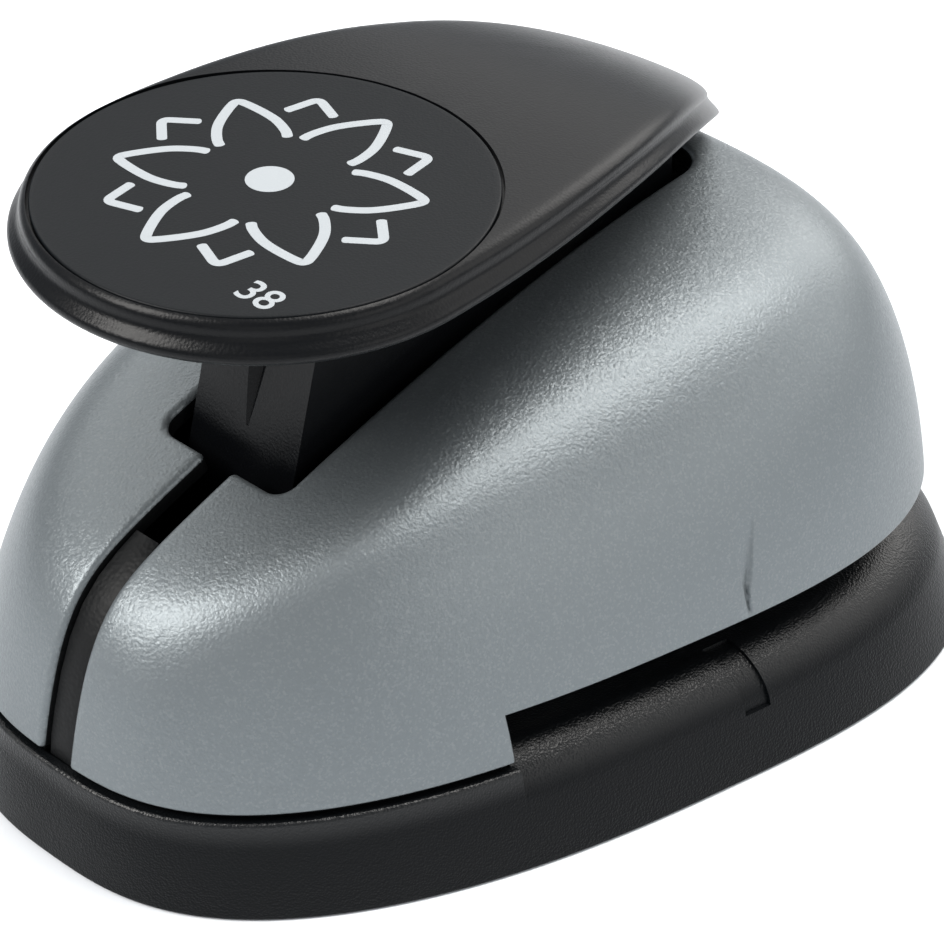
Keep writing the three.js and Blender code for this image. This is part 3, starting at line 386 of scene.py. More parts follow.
class Finishes:
    """Every finish of the punch, built once.

    The plastics' reflections are weaker than the typical 0.5, to match the deep blacks of the
    object. The grains are drawn some tenths of a millimetre wide, coarser than the real ones,
    because the real ones don't show at this distance.
    """

    def __init__(self) -> None:
        """Builds the finishes."""
        # Silver pearl lacquer, sprayed on moulded ABS: a soft broad highlight with a fine glitter
        self.shell = PearlCoat("pearl_silver_lacquer", "shell_silver", "#686e71", 0.42,
                               metallic=0.62, grain_mm=0.34, grain_depth=0.22).build()
        # Black ABS from a spark-eroded mould: deep and dull on the wall, glossier on the rubbed rim
        self.base = MouldedPlastic("black_grained_abs", "base_black", "#06080a", 0.34,
                                   grain_mm=0.24, grain_depth=0.5, specular=0.1,
                                   rubbed_mm=(8.5, 11.5), rubbed_specular=0.3).build()
        # Black ABS from a plain mould, inside the punch: matt, so that it stays in the dark
        self.frame = MouldedPlastic("black_plain_abs", "frame_black", "#0d0e0f", 0.5,
                                    grain_mm=0.5, grain_depth=0.2, specular=0.15).build()
        # Charcoal ABS from a fine mould: satin, with long smooth highlights on the rolled edge
        self.lever = MouldedPlastic("charcoal_satin_abs", "lever_charcoal", "#07080a", 0.32,
                                    grain_mm=0.3, grain_depth=0.12, specular=0.15).build()
        # Charcoal ABS of the inlaid disc: flatter and duller than the lever round it
        self.disc = MouldedPlastic("charcoal_disc_abs", "disc_charcoal", "#080b0e", 0.45,
                                   grain_mm=0.3, grain_depth=0.1, specular=0.13).build()
        # White pad print: a thin even film of ink, a little glossy
        self.ink = Finish("white_pad_print", "disc_charcoal", "#8c9195", 0.45,
                          grain_mm=0.2, grain_depth=0.05).build()
        # Tool steel, ground: fine lines across the plates that streak the reflections
        self.plate = WorkedSteel("ground_tool_steel", "tool_steel", "#b9bbbd", 0.28,
                                 grain_mm=0.12, grain_depth=0.25).build()
        # Bright steel, drawn: a clear metal with faint lines along the posts
        self.bright = WorkedSteel("drawn_bright_steel", "bright_steel", "#c6c8ca", 0.2,
                                  grain_mm=0.1, grain_depth=0.15, lines=(1.0, 1.0, 0.05)).build()
        # Spring steel, drawn and tempered: greyer than the posts
        self.spring = WorkedSteel("spring_steel_wire", "spring_steel", "#9a9c9f", 0.3,
                                  grain_mm=0.08, grain_depth=0.1).build()
        # Steel, zinc plated: a pale satin metal
        self.screw = Finish("zinc_plated_steel", "screw_steel", "#a9acb0", 0.34,
                            metallic=1.0, grain_mm=0.15, grain_depth=0.15).build()
        # Zinc alloy, die cast and not polished: a rough dull metal
        self.cast = Finish("die_cast_alloy", "die_cast", "#a2a4a6", 0.5,
                           metallic=1.0, grain_mm=0.4, grain_depth=0.45).build()


# Meshes


def mesh_object(
    name: str,
    vertices: Points | Sequence,
    faces: Sequence[Sequence[int]],
    materials: Sequence[Material] = (),
    material_of_face: Sequence[int] | None = None,
) -> Object:
    """Makes an object from millimetre vertices, merged, with its faces turned outwards.

    Args:
        name: The object's name.
        vertices: One row of three numbers for each vertex.
        faces: Vertex numbers of each face.
        materials: The object's materials.
        material_of_face: The number of each face's material.

    Returns:
        The object, linked to the scene.
    """
    mesh = bpy.data.meshes.new(name)
    mesh.from_pydata((np.asarray(vertices, float) * MM).tolist(), [], [list(f) for f in faces])
    for material in materials:
        mesh.materials.append(material)
    if material_of_face is not None:
        mesh.polygons.foreach_set("material_index", np.asarray(material_of_face, np.int32))
    built = bmesh.new()
    built.from_mesh(mesh)
    bmesh.ops.remove_doubles(built, verts=built.verts, dist=MERGE_DISTANCE)
    bmesh.ops.dissolve_degenerate(built, edges=built.edges, dist=MERGE_DISTANCE / 4)
    bmesh.ops.recalc_face_normals(built, faces=built.faces)
    built.to_mesh(mesh)
    built.free()
    return shown(name, mesh)


def shown(name: str, data: bpy.types.ID) -> Object:
    """Puts data into the scene as an object."""
    piece = bpy.data.objects.new(name, data)
    bpy.context.scene.collection.objects.link(piece)
    return piece


def loft(rings: Sequence[Points]) -> Shape:
    """Joins closed rings of equal count, lowest first, and caps both ends.

    Args:
        rings: Rings of points, each one an array of rows.

    Returns:
        The vertices and the faces.
    """
    size = len(rings[0])
    faces: Faces = []
    for level in range(len(rings) - 1):
        for i in range(size):
            a, b = level * size + i, level * size + (i + 1) % size
            faces.append([a, b, b + size, a + size])
    faces.append(list(range(size))[::-1])
    faces.append([(len(rings) - 1) * size + i for i in range(size)])
    return np.concatenate(rings), faces


def raised(outline: Points, level: float | Points, axis: Axis = Axis.Z) -> Points:
    """Gives a flat outline its place along an axis."""
    extra = np.broadcast_to(level, len(outline))
    return np.column_stack([extra, outline] if axis is Axis.X else [outline, extra])


def prism(outline: Points | Sequence[Pair], low: float, high: float, axis: Axis = Axis.Z) -> Shape:
    """Gives an outline thickness.

    Args:
        outline: Points in X and Y, or in Y and Z for a prism along X.
        low: Lower end along the axis.
        high: Upper end along the axis.
        axis: The direction of the thickness.

    Returns:
        The vertices and the faces.
    """
    flat = np.asarray(outline, float)
    return loft([raised(flat, level, axis) for level in (low, high)])


def circle(radius: float, x: float = 0.0, y: float = 0.0, count: int = 64) -> Points:
    """Returns the points of a circle."""
    turn = np.linspace(0, FULL_TURN, count, endpoint=False)
    return np.stack([x + radius * np.cos(turn), y + radius * np.sin(turn)], 1)


def rod(radius: float, place: Pair, span: Pair, count: int = 64, axis: Axis = Axis.Z) -> Shape:
    """Returns a round bar at a place, from one level to another along its axis."""
    return prism(circle(radius, *place, count), *span, axis)


def turned(line: Sequence[Pair], place: Pair, count: int = 48, axis: Axis = Axis.Z) -> Shape:
    """Turns a line of radius and level pairs round an axis through a place."""
    return loft([raised(circle(radius, *place, count), level, axis) for radius, level in line])


def chamfered(radius: float, span: Pair, chamfer: float) -> list[Pair]:
    """Returns the line of a round bar with chamfered ends, to be turned."""
    (low, high), end = span, radius - chamfer
    return [(end, low), (radius, low + chamfer), (radius, high - chamfer), (end, high)]


def box_shape(low: Sequence[float], high: Sequence[float]) -> Shape:
    """Returns the vertices and faces of a box between two corners."""
    (x0, y0, z0), (x1, y1, z1) = low, high
    return prism([(x0, y0), (x1, y0), (x1, y1), (x0, y1)], z0, z1)


def combine(target: Object, join: Join, *shapes: Shape | Object) -> None:
    """Joins shapes to a piece, or cuts them out, and keeps the result as the piece's mesh.

    Args:
        target: The piece to change.
        join: What happens where they meet.
        shapes: The other solids, as vertices and faces or as objects that are used up.
    """
    for shape in shapes:
        other = shape if isinstance(shape, Object) else mesh_object("cutter", *shape)
        modifier = target.modifiers.new("join", "BOOLEAN")
        modifier.operation = join.value
        modifier.solver = "EXACT"
        modifier.object = other
        keep_evaluated(target)
        bpy.data.objects.remove(other)


def evaluated_mesh(piece: Object) -> bpy.types.Mesh:
    """Returns a piece's mesh with its modifiers applied."""
    graph = bpy.context.evaluated_depsgraph_get()
    return bpy.data.meshes.new_from_object(piece.evaluated_get(graph))


def keep_evaluated(piece: Object) -> None:
    """Turns the piece's modifiers into its own mesh."""
    made, old = evaluated_mesh(piece), piece.data
    piece.modifiers.clear()
    piece.data = made
    bpy.data.meshes.remove(old)
    made.name = piece.name


def smooth(piece: Object, degrees: float = SHARP_DEGREES) -> None:
    """Shades a piece smooth, with sharp edges past an angle."""
    piece.data.shade_smooth()
    piece.data.set_sharp_from_angle(angle=math.radians(degrees))


def dress(piece: Object, body: Body, coat: Coat, nodes: Sequence[str], repaint: bool = True) -> None:
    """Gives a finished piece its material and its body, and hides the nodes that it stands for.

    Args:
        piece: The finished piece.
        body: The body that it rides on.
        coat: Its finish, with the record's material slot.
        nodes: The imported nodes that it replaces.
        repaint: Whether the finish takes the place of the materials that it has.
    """
    if repaint:
        piece.data.materials.clear()
        piece.data.materials.append(coat.material)
    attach(piece, body.value)
    if nodes:
        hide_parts(*nodes)
    LOG.info("%s: %d faces, rides on %s", piece.name, len(piece.data.polygons), body.value)


def bevelled(piece: Object, width: float, segments: int = 2) -> Object:
    """Breaks a piece's sharp edges and shades it.

    Args:
        piece: The piece.
        width: Width of the broken edges.
        segments: Steps across each.

    Returns:
        The piece.
    """
    bevel = piece.modifiers.new("broken_edges", "BEVEL")
    bevel.width = width * MM
    bevel.segments = segments
    bevel.limit_method = "ANGLE"
    bevel.angle_limit = math.radians(BEVEL_DEGREES)
    keep_evaluated(piece)
    smooth(piece)
    return piece


def refined(node: str, name: str, edge: float) -> Object:
    """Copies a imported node, merges its faces and breaks its sharp edges.

    Args:
        node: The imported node.
        name: Name of the new piece.
        edge: Width of the broken edges.

    Returns:
        The new piece.
    """
    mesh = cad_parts[node].data.copy()
    built = bmesh.new()
    built.from_mesh(mesh)
    bmesh.ops.remove_doubles(built, verts=built.verts, dist=MERGE_DISTANCE)
    bmesh.ops.dissolve_limit(
        built, angle_limit=math.radians(FLAT_DEGREES), verts=built.verts, edges=built.edges)
    built.to_mesh(mesh)
    built.free()
    return bevelled(shown(name, mesh), edge)


# Curves and plans


def both_sides(places: Pairs) -> Pairs:
    """Returns each place of the right half after its mirror image."""
    return tuple((side * x, y) for x, y in places for side in (-1, 1))


def quarter(steps: int) -> Points:
    """Returns the angles of a quarter turn in equal steps."""
    return np.linspace(0, QUARTER_TURN, steps + 1)


def units(vectors: Points) -> Points:
    """Returns vectors of the same directions and of length one."""
    return vectors / np.linalg.norm(vectors, axis=-1, keepdims=True)


def signed_power(value: Points, power: float) -> Points:
    """Raises the size of each value to a power and keeps its sign."""
    return np.sign(value) * np.abs(value) ** power


def path_shares(line: Points) -> Points:
    """Returns how far along a line each of its points lies, from nought to one."""
    length = np.concatenate([[0.0], np.cumsum(np.linalg.norm(np.diff(line, axis=0), axis=1))])
    return length / length[-1]


def resampled(line: Points, shares: Points) -> Points:
    """Finds points along a line by shares of its length.

    Args:
        line: Rows of points.
        shares: Places between nought and one.

    Returns:
        One row for each share.
    """
    length = path_shares(line)
    return np.stack([np.interp(shares, length, line[:, k]) for k in range(line.shape[1])], 1)


def with_fine_part(places: Points, fine: Points) -> Points:
    """Swaps the part of a rising row of places that a finer row covers for that finer row."""
    gap = (fine[1] - fine[0]) / 2
    return np.concatenate([places[places < fine[0] - gap], fine, places[places > fine[-1] + gap]])


def arc(x: float, y: float, radius: float, start: float, end: float, count: int = 24) -> Points:
    """Returns the points of an arc, with its angles in degrees."""
    turn = np.radians(np.linspace(start, end, count))
    return np.stack([x + radius * np.cos(turn), y + radius * np.sin(turn)], 1)


def rounded_square(half: float, corner: float, count: int) -> Points:
    """Returns the outline of a square with round corners about the motif's middle."""
    reach = half - corner
    return np.concatenate([arc(x * reach, MOTIF_Y + y * reach, corner, start, start + 90, count)
                           for x, y, start in ((1, -1, -90), (1, 1, 0), (-1, 1, 90), (-1, -1, 180))])


def bent(start: Points, corner: Points, end: Points, t: Points) -> Points:
    """Returns points of the round corner that leaves start and reaches end."""
    return (1 - t) ** 2 * start + 2 * t * (1 - t) * corner + t**2 * end


def rounded(line: Sequence[Pair], per_span: int) -> Points:
    """Draws a smooth open curve through points.

    Args:
        line: The points to pass.
        per_span: How many steps each span gets.

    Returns:
        Rows of points.
    """
    p = np.asarray(line, float)
    p = np.vstack([2 * p[0] - p[1], p, 2 * p[-1] - p[-2]])
    t = np.linspace(0, 1, per_span, endpoint=False)[:, None]
    parts = []
    for a, b, c, d in zip(p[:-3], p[1:-2], p[2:-1], p[3:]):
        parts.append(0.5 * (2 * b + (c - a) * t + (2 * a - 5 * b + 4 * c - d) * t**2
                            + (3 * b - a - 3 * c + d) * t**3))
    return np.vstack([*parts, p[-2:-1]])


@dataclass(frozen=True)
class EggPlan:
    """An egg-shaped outline, wide at the tall end.

    Attributes:
        length: Length along Y.
        width: Width along X before the egg's taper.
        power: How square the outline is; smaller is squarer.
        egg: Share by which the tall end widens and the low end narrows.
        middle_y: Place of its middle along Y.
    """

    length: float
    width: float
    power: float
    egg: float
    middle_y: float = 0.0

    def at(self, angle: Points, inset: float = 0.0) -> tuple[Points, Points]:
        """Finds points of the outline.

        Args:
            angle: Angles from the low end, anticlockwise.
            inset: How far the outline is drawn in.

        Returns:
            X and Y.
        """
        length = self.length - 2 * inset
        y = -signed_power(np.cos(angle), self.power) * length / 2
        x = signed_power(np.sin(angle), self.power) * (self.width - 2 * inset) / 2
        return x * (1 + self.egg * 2 * y / length), y + self.middle_y


FOOT_PLAN = EggPlan(112.8, 88.2, 0.732, 0.29)
SHELL_PLAN = EggPlan(106.4, 80.6, 0.717, 0.283, -1.7)


@dataclass(frozen=True)
class Dome:
    """The shell's outer surface: nested egg rings that rise to a sloping crown.

    Attributes:
        plan: The outline at the foot.
        lean: How far the top stands back from the foot.
        top_egg: How much more the top is egg-shaped than the foot.
        foot_z: Height of the foot.
        crown_low: Y and height of the ridge near the low end.
        crown_high: Y and height of the ridge's highest place.
        crown_power: How fast the ridge falls towards the low end.
        crown_fall: How fast it falls towards the tall end.
        front_powers: Steepness of the wall and roundness of the top at the low end.
        rear_powers: The same at the tall end.
        side_powers: The same at the sides.
        inverse_steps: Halvings in the search for a place of the plan.
        section_steps: Halvings in the search for a height.
    """

    plan: EggPlan = SHELL_PLAN
    lean: float = 0.7
    top_egg: float = 0.12
    foot_z: float = 12.65
    crown_low: Pair = (-40.0, 34.0)
    crown_high: Pair = (41.0, 48.6)
    crown_power: float = 1.85
    crown_fall: float = 0.3
    front_powers: Pair = (19.0, 1.05)
    rear_powers: Pair = (11.5, 1.05)
    side_powers: Pair = (4.6, 1.25)
    inverse_steps: int = 34
    section_steps: int = 44

    def crown(self, y: Points) -> Points:
        """Finds the height of the dome's ridge.

        Args:
            y: Places along Y.

        Returns:
            The heights.
        """
        share = (self.crown_high[0] - y) / (self.crown_high[0] - self.crown_low[0])
        fall = self.crown_high[1] - self.crown_low[1]
        drop = np.where(share > 0, np.abs(share) ** self.crown_power, self.crown_fall * share**2)
        return self.crown_high[1] - fall * drop

    def rise(self, angle: Points, spread: Points) -> Points:
        """Finds how far up the dome its rings are.

        Args:
            angle: Angles from the low end.
            spread: Sizes of the rings as shares of the foot.

        Returns:
            Shares from nought at the foot to one on the ridge.
        """
        shares = (np.maximum(0, np.cos(angle)) ** 2, np.maximum(0, -np.cos(angle)) ** 2, np.sin(angle) ** 2)
        steep, blunt = (sum(power * share for power, share in zip(powers, shares))
                        for powers in zip(self.front_powers, self.rear_powers, self.side_powers))
        return np.maximum(0, 1 - spread**steep) ** (1 / blunt)

    def egg(self, rise: Points, y: Points) -> Points:
        """Returns how much wider the plan is at a rise and at Y from its middle."""
        return 1 + (self.plan.egg + self.top_egg * rise) * 2 * y / self.plan.length

    def at(self, angle: Points, spread: Points) -> Points:
        """Finds points of the surface.

        Args:
            angle: Angles from the low end.
            spread: Sizes of the rings as shares of the foot.

        Returns:
            One row for each point.
        """
        rise = self.rise(angle, spread)
        y = -signed_power(np.cos(angle), self.plan.power) * self.plan.length / 2 * spread
        x = signed_power(np.sin(angle), self.plan.power) * self.plan.width / 2 * spread * self.egg(rise, y)
        y = y + self.plan.middle_y + self.lean * rise
        return np.stack([x, y, self.foot_z + (self.crown(y) - self.foot_z) * rise], -1)

    def invert(self, x: Points, y: Points) -> tuple[Points, Points]:
        """Finds the surface over points of the plan, by halving.

        Args:
            x: X of each point.
            y: Y of each point.

        Returns:
            The angles and the spreads.
        """
        power = 2 / self.plan.power
        low, high = np.zeros_like(x), np.ones_like(x)
        for _ in range(self.inverse_steps):
            middle = (low + high) / 2
            flat_y = y - self.plan.middle_y - self.lean * middle
            across = np.abs(x / self.egg(middle, flat_y) / (self.plan.width / 2)) ** power
            along = np.abs(flat_y / (self.plan.length / 2)) ** power
            spread = np.minimum(1, (across + along) ** (1 / power))
            angle = np.arctan2(np.sqrt(across), -np.sign(flat_y) * np.sqrt(along))
            above = self.rise(angle, spread) > middle
            low, high = np.where(above, middle, low), np.where(above, high, middle)
        return angle, spread

    def height(self, x: Points, y: Points) -> Points:
        """Returns the surface's height over points of the plan."""
        return self.foot_z + (self.crown(y) - self.foot_z) * self.rise(*self.invert(x, y))

    def normal(self, points: Points, step: float = 1e-4) -> Points:
        """Finds the normals of the surface from its own two directions.

        Args:
            points: Points on the surface.
            step: How far apart the compared points are.

        Returns:
            Unit normals.
        """
        angle, spread = self.invert(points[..., 0], points[..., 1])
        spread = np.maximum(spread, 2 * step)
        round_it = self.at(angle + step, spread) - self.at(angle - step, spread)
        down_it = self.at(angle, spread) - self.at(angle, spread - step)
        return units(np.cross(down_it, round_it))

    def section(self, z: float, count: int = 900) -> Points:
        """Finds the right half of the outline at a height.

        Args:
            z: The height.
            count: How many points it gets.

        Returns:
            Points from the low end to the tall end.
        """
        angle = HALF_TURN * np.linspace(0, 1, count)
        low, high = np.zeros(count), np.ones(count)
        for _ in range(self.section_steps):
            middle = (low + high) / 2
            above = self.at(angle, middle)[:, 2] > z
            low, high = np.where(above, middle, low), np.where(above, high, middle)
        found = self.at(angle, low)
        found[:, 2] = z
        return found


# Base


@dataclass(frozen=True)
class BaseWall:
    """The base's wall: it leans in from the foot's outline to a rim just outside the shell."""

    foot: EggPlan = FOOT_PLAN
    shell: EggPlan = SHELL_PLAN
    overhang: float = 0.4
    rim: float = 11.75
    half_steps: int = 1600

    def at(self, angle: Points, z: float, inset: float = 0.0) -> Points:
        """Returns the wall's points at angles from the low end, at a height and drawn in by an inset."""
        foot = np.stack(self.foot.at(angle, inset), 1)
        rim = np.stack(self.shell.at(angle, inset - self.overhang), 1)
        return raised(foot + (rim - foot) * (z / self.rim), z)

    def half_width(self, y: float, z: float) -> float:
        """Returns half the width at one Y and one height."""
        points = self.at(np.linspace(0, HALF_TURN, self.half_steps), z)
        return float(np.interp(y, points[:, 1], points[:, 0]))


@dataclass
class BaseTray:
    """The black base: a drafted tray with a thin rim at the closed end and a round edge at the throat."""

    finishes: Finishes
    side: BaseWall = BaseWall()
    wall: float = 2.6
    deck: float = 12.8
    deck_depth: float = 4.2
    front_radius: float = 0.4
    rear_radius: float = 5.0
    foot_radius: float = 0.6
    ledge_drop: float = 0.7
    ledge_rim: float = 1.2
    notch_y: float = -23.1
    chute_radius: float = 21.4
    chute_wall: float = 1.8
    chute_z: Pair = (2.0, 10.2)
    die_half: float = 26.3
    die_corner: float = 4.0
    die_boss_z: Pair = (5.6, 10.5)
    die_hole_bottom: float = 7.1
    land: Pair = (22.0, -40.0)
    screw_boss: float = 3.6
    screw_seat: float = 3.2
    mark_width: float = 3.3
    mark_bottom: float = 7.3
    mark_depth: float = 0.45
    overrun: float = 4.0
    beyond: float = 80.0
    count: int = 280
    steps: int = 14
    foot_steps: int = 3
    corner_steps: int = 24
    chute_sides: int = 128
    hole_sides: int = 32

    def ring(self, z: float, inset: float) -> Points:
        """Returns the wall's outline at a height, drawn in by an inset."""
        return self.side.at(np.linspace(0, FULL_TURN, self.count, endpoint=False), z, inset)

    def outside(self, top: float, radius: float) -> Object:
        """Makes the closed outer form.

        Args:
            top: Height of the rim.
            radius: Radius of the rim's edge.

        Returns:
            The form.
        """
        foot, shoulder = self.foot_radius, self.deck - self.rear_radius
        rings = [self.ring(foot * (1 - math.cos(t)), foot * (1 - math.sin(t)))
                 for t in quarter(self.foot_steps)]
        rings.append(self.ring(shoulder, 0))
        turns = quarter(self.steps)
        rings += [self.ring(top - radius * (1 - math.sin(t)), radius * (1 - math.cos(t)))
                  for t in (turns if top - radius > shoulder else turns[1:])]
        return mesh_object("base_tray", *loft(rings))

    def form(self) -> Object:
        """Joins the low closed end and the raised throat end, and hollows them."""
        far, rim, overrun = self.beyond, self.side.rim, self.overrun
        low_end = box_shape((-far, -far, -overrun), (far, self.notch_y, self.deck + 2 * overrun))
        base = self.outside(rim, self.front_radius)
        combine(base, Join.KEEP, low_end)
        rear = self.outside(self.deck, self.rear_radius)
        combine(rear, Join.CUT, low_end)
        combine(base, Join.ADD, rear)
        ledge = mesh_object("ledge", *loft([self.ring(rim - self.ledge_drop, self.ledge_rim),
                                            self.ring(rim + overrun, self.ledge_rim)]))
        combine(ledge, Join.KEEP, low_end)
        combine(base, Join.CUT, ledge)
        half, front = self.land
        under, shoulder = self.deck - self.deck_depth, self.deck - self.rear_radius
        combine(base, Join.ADD, box_shape((-half, front, under), (half, self.notch_y + overrun, self.deck)))
        combine(base, Join.CUT, loft([self.ring(-overrun, self.wall), self.ring(shoulder, self.wall),
                                      self.ring(under, self.rear_radius)]))
        return base

    def mark(self, side: int) -> Shape:
        """Makes the shallow upright recess through the rim that marks the die's middle.

        Args:
            side: One for the right side, and minus one for the left.

        Returns:
            The recess, to be cut out.
        """
        middle_z, radius = self.deck - self.rear_radius, self.rear_radius - self.mark_depth
        start = math.asin((self.mark_bottom - middle_z) / radius)
        rings = []
        for y in (MOTIF_Y - self.mark_width / 2, MOTIF_Y + self.mark_width / 2):
            far = self.side.half_width(y, self.mark_bottom) + self.overrun
            line = [(far, self.mark_bottom)]
            for turn in np.linspace(start, QUARTER_TURN, self.steps):
                z = middle_z + radius * math.sin(turn)
                line.append((self.side.half_width(y, z) - self.rear_radius + radius * math.cos(turn), z))
            line += [(line[-1][0], self.deck + self.overrun), (far, self.deck + self.overrun)]
            rings.append(np.array([(side * x, y, z) for x, z in line]))
        return loft(rings)

    def build(self) -> None:
        """Makes the base with its chute, its bosses, its holes and its marks."""
        base = self.form()
        above = self.deck + self.overrun
        middle, screws, die_screws = (0, MOTIF_Y), both_sides(BASE_SCREWS), sorted(DIE_SCREWS)
        posts = (self.screw_seat, self.side.rim - self.ledge_drop)
        combine(base, Join.ADD,
                rod(self.chute_radius + self.chute_wall, middle, self.chute_z, self.chute_sides),
                *(rod(self.screw_boss, place, posts) for place in screws),
                *(rod(self.screw_boss, place, self.die_boss_z) for place in die_screws))
        pocket = rounded_square(self.die_half, self.die_corner, self.corner_steps)
        combine(base, Join.CUT,
                prism(pocket, self.die_boss_z[1], above),
                rod(self.chute_radius, middle, (-self.overrun, self.deck), self.chute_sides),
                *(rod(SCREW_HOLE, place, (-self.overrun, above), self.hole_sides) for place in screws),
                *(rod(SCREW_HOLE, place, (self.die_hole_bottom, above), self.hole_sides)
                  for place in die_screws),
                *(self.mark(side) for side in (-1, 1)))
        smooth(base)
        dress(base, Body.FIXED, self.finishes.base, ["base"])


# Shell


class Skin(Enum):
    """The numbers of the shell's two materials."""

    LACQUER = 0
    BARE = 1


@dataclass
class SilverShell:
    """The lacquered shell: a dome with rolled edges round its slit, its well and its foot.

    The faces of the right half are collected first, and then mirrored.

    Attributes:
        pointer_left: Height and Y along the low side of the pointer's ramp.
        pointer_right: Height and Y along the step that ends it.
        pointer_depth: Height and depth of the step.
        pointer_columns: From Y to Y, the stretch with finer columns, and their count.
        pointer_rows: The same for the rows, as shares of the way up.
        corner_turn: Degrees past which the edge's outer corners get a fan of rolls.
        corner_limit: Limits how far the roll reaches out at the other corners.
    """

    finishes: Finishes
    dome: Dome = Dome()
    wall: float = 2.2
    notch_y: float = -23.4
    rear_z: float = 18.05
    slit_half: float = 2.0
    well_half: float = 8.9
    well_front: float = -30.6
    well_rear: float = 35.4
    well_corner: float = 2.0
    well_rear_corner: float = 5.0
    opening_roll: float = 0.8
    foot_roll: float = 0.3
    roll_steps: int = 5
    corner_turn: float = 30.0
    corner_fan: int = 7
    corner_limit: float = 0.7
    columns: tuple[int, int] = (46, 104)
    rows: int = 70
    foot_rows: int = 10
    path_steps: int = 260
    path_power: float = 2.5
    boss_radius: float = 2.8
    boss_bottom: float = 18.9
    boss_sink: float = 0.6
    boss_sides: int = 40
    tongue_inset: float = 1.1
    tongue_gap: float = 0.1
    tongue_z: Pair = (11.35, 13.85)
    tongue_count: int = 60
    pointer_left: Pairs = ((18.5, 5.5), (19.7, 5.5), (21.0, 5.42), (24.5, 5.25), (28.4, 5.2))
    pointer_right: Pairs = ((18.5, 5.9), (19.7, 5.9), (21.0, 6.0), (28.4, 8.3))
    pointer_depth: Pairs = ((18.3, 0.0), (18.9, 0.3), (20.5, 0.5), (25.0, 0.3), (28.4, 0.05))
    pointer_edge: float = 0.16
    pointer_power: float = 0.7
    pointer_columns: tuple[float, float, int] = (3.4, 10.4, 46)
    pointer_rows: tuple[float, float, int] = (0.0, 0.26, 40)
    sharp_degrees: float = 50.0
    vertices: list[Points] = field(default_factory=list)
    faces: Faces = field(default_factory=list)
    skins: list[int] = field(default_factory=list)
    used: int = 0

    def quads(self, near: Points, far: Points, skin: Skin) -> None:
        """Adds the strip of faces between two lines of points.

        Args:
            near: One line.
            far: The other line, of the same count.
            skin: The material.
        """
        count = len(near)
        strip = [[i, i + 1, i + count + 1, i + count] for i in range(count - 1)]
        self.island((np.concatenate([near, far]), strip), skin)

    def island(self, shape: Shape, skin: Skin = Skin.BARE) -> None:
        """Adds faces of the right half that share no points with those before.

        Args:
            shape: The vertices and the faces.
            skin: The material.
        """
        vertices, faces = shape
        self.vertices.append(vertices)
        self.faces += [[v + self.used for v in f] for f in faces]
        self.skins += [skin.value] * len(faces)
        self.used += len(vertices)

    def top_line(self) -> Points:
        """Returns the plan of the right half of the well's upper edge, outside its roll."""
        roll, half = self.opening_roll, self.well_half
        front, rear = self.well_corner, self.well_rear_corner
        return np.concatenate([
            [(self.slit_half + roll, self.well_front - roll)],
            arc(half - front, self.well_front + front, front + roll, -90, 0),
            arc(half - rear, self.well_rear - rear, rear + roll, 0, 90),
            [(0.0, self.well_rear + roll)]])

    def foot_line(self, z: float) -> Points:
        """Finds the right half of the dome's outline beside the slit.

        Args:
            z: The height.

        Returns:
            Points from the slit to the tall end.
        """
        line = self.dome.section(z)
        start = self.slit_half + self.opening_roll
        first = int(np.argmax(line[:, 0] > start))
        mix = (start - line[first - 1, 0]) / (line[first, 0] - line[first - 1, 0])
        return np.vstack([line[first - 1] + (line[first] - line[first - 1]) * mix, line[first:]])

    def strip(self, low: Points, shares: Points) -> Points:
        """Returns the low strip between the front foot and the notch's height.

        Args:
            low: The strip's upper line.
            shares: Places of its columns between nought and one.

        Returns:
            Points as rows by columns by three.
        """
        notch = self.notch_y - self.foot_roll
        lines = []
        bottom, top = self.dome.foot_z + self.foot_roll, self.rear_z + self.foot_roll
        for z in np.linspace(bottom, top, self.foot_rows + 1):
            line = self.foot_line(float(z))
            end = int(np.argmax(line[:, 1] > notch))
            mix = (notch - line[end - 1, 1]) / (line[end, 1] - line[end - 1, 1])
            line = np.vstack([line[:end], line[end - 1] + (line[end] - line[end - 1]) * mix])
            lines.append(resampled(line, shares))
        lines[-1] = low
        return np.stack(lines)

    def grids(self) -> tuple[Points, Points]:
        """Returns the upper grid and the low strip of the outer surface, as rows by columns by three."""
        rear_z = self.rear_z + self.foot_roll
        foot = self.foot_line(rear_z)
        length = path_shares(foot)
        split = float(np.interp(self.notch_y - self.foot_roll, foot[:, 1], length))
        front, rear = self.columns
        fine_columns = np.interp(np.linspace(*self.pointer_columns), foot[:, 1], length)
        rear_shares = with_fine_part(np.linspace(split, 1, rear + 1), fine_columns)
        shares = np.concatenate([np.linspace(0, split, front + 1)[:-1], rear_shares])
        low = resampled(foot, shares)
        top = resampled(self.top_line(), shares)
        fine = np.linspace(0, 1, self.path_steps) ** self.path_power
        plan = low[None, :, :2] + (top - low[:, :2])[None] * fine[:, None, None]
        path = np.concatenate([plan, self.dome.height(plan[..., 0], plan[..., 1])[..., None]], -1)
        path[0, :, 2] = rear_z
        places = with_fine_part(np.linspace(0, 1, self.rows + 1), np.linspace(*self.pointer_rows))
        upper = np.stack([resampled(path[:, c], places) for c in range(len(shares))], 1)
        return upper, self.strip(low[: front + 1], shares[: front + 1] / split)

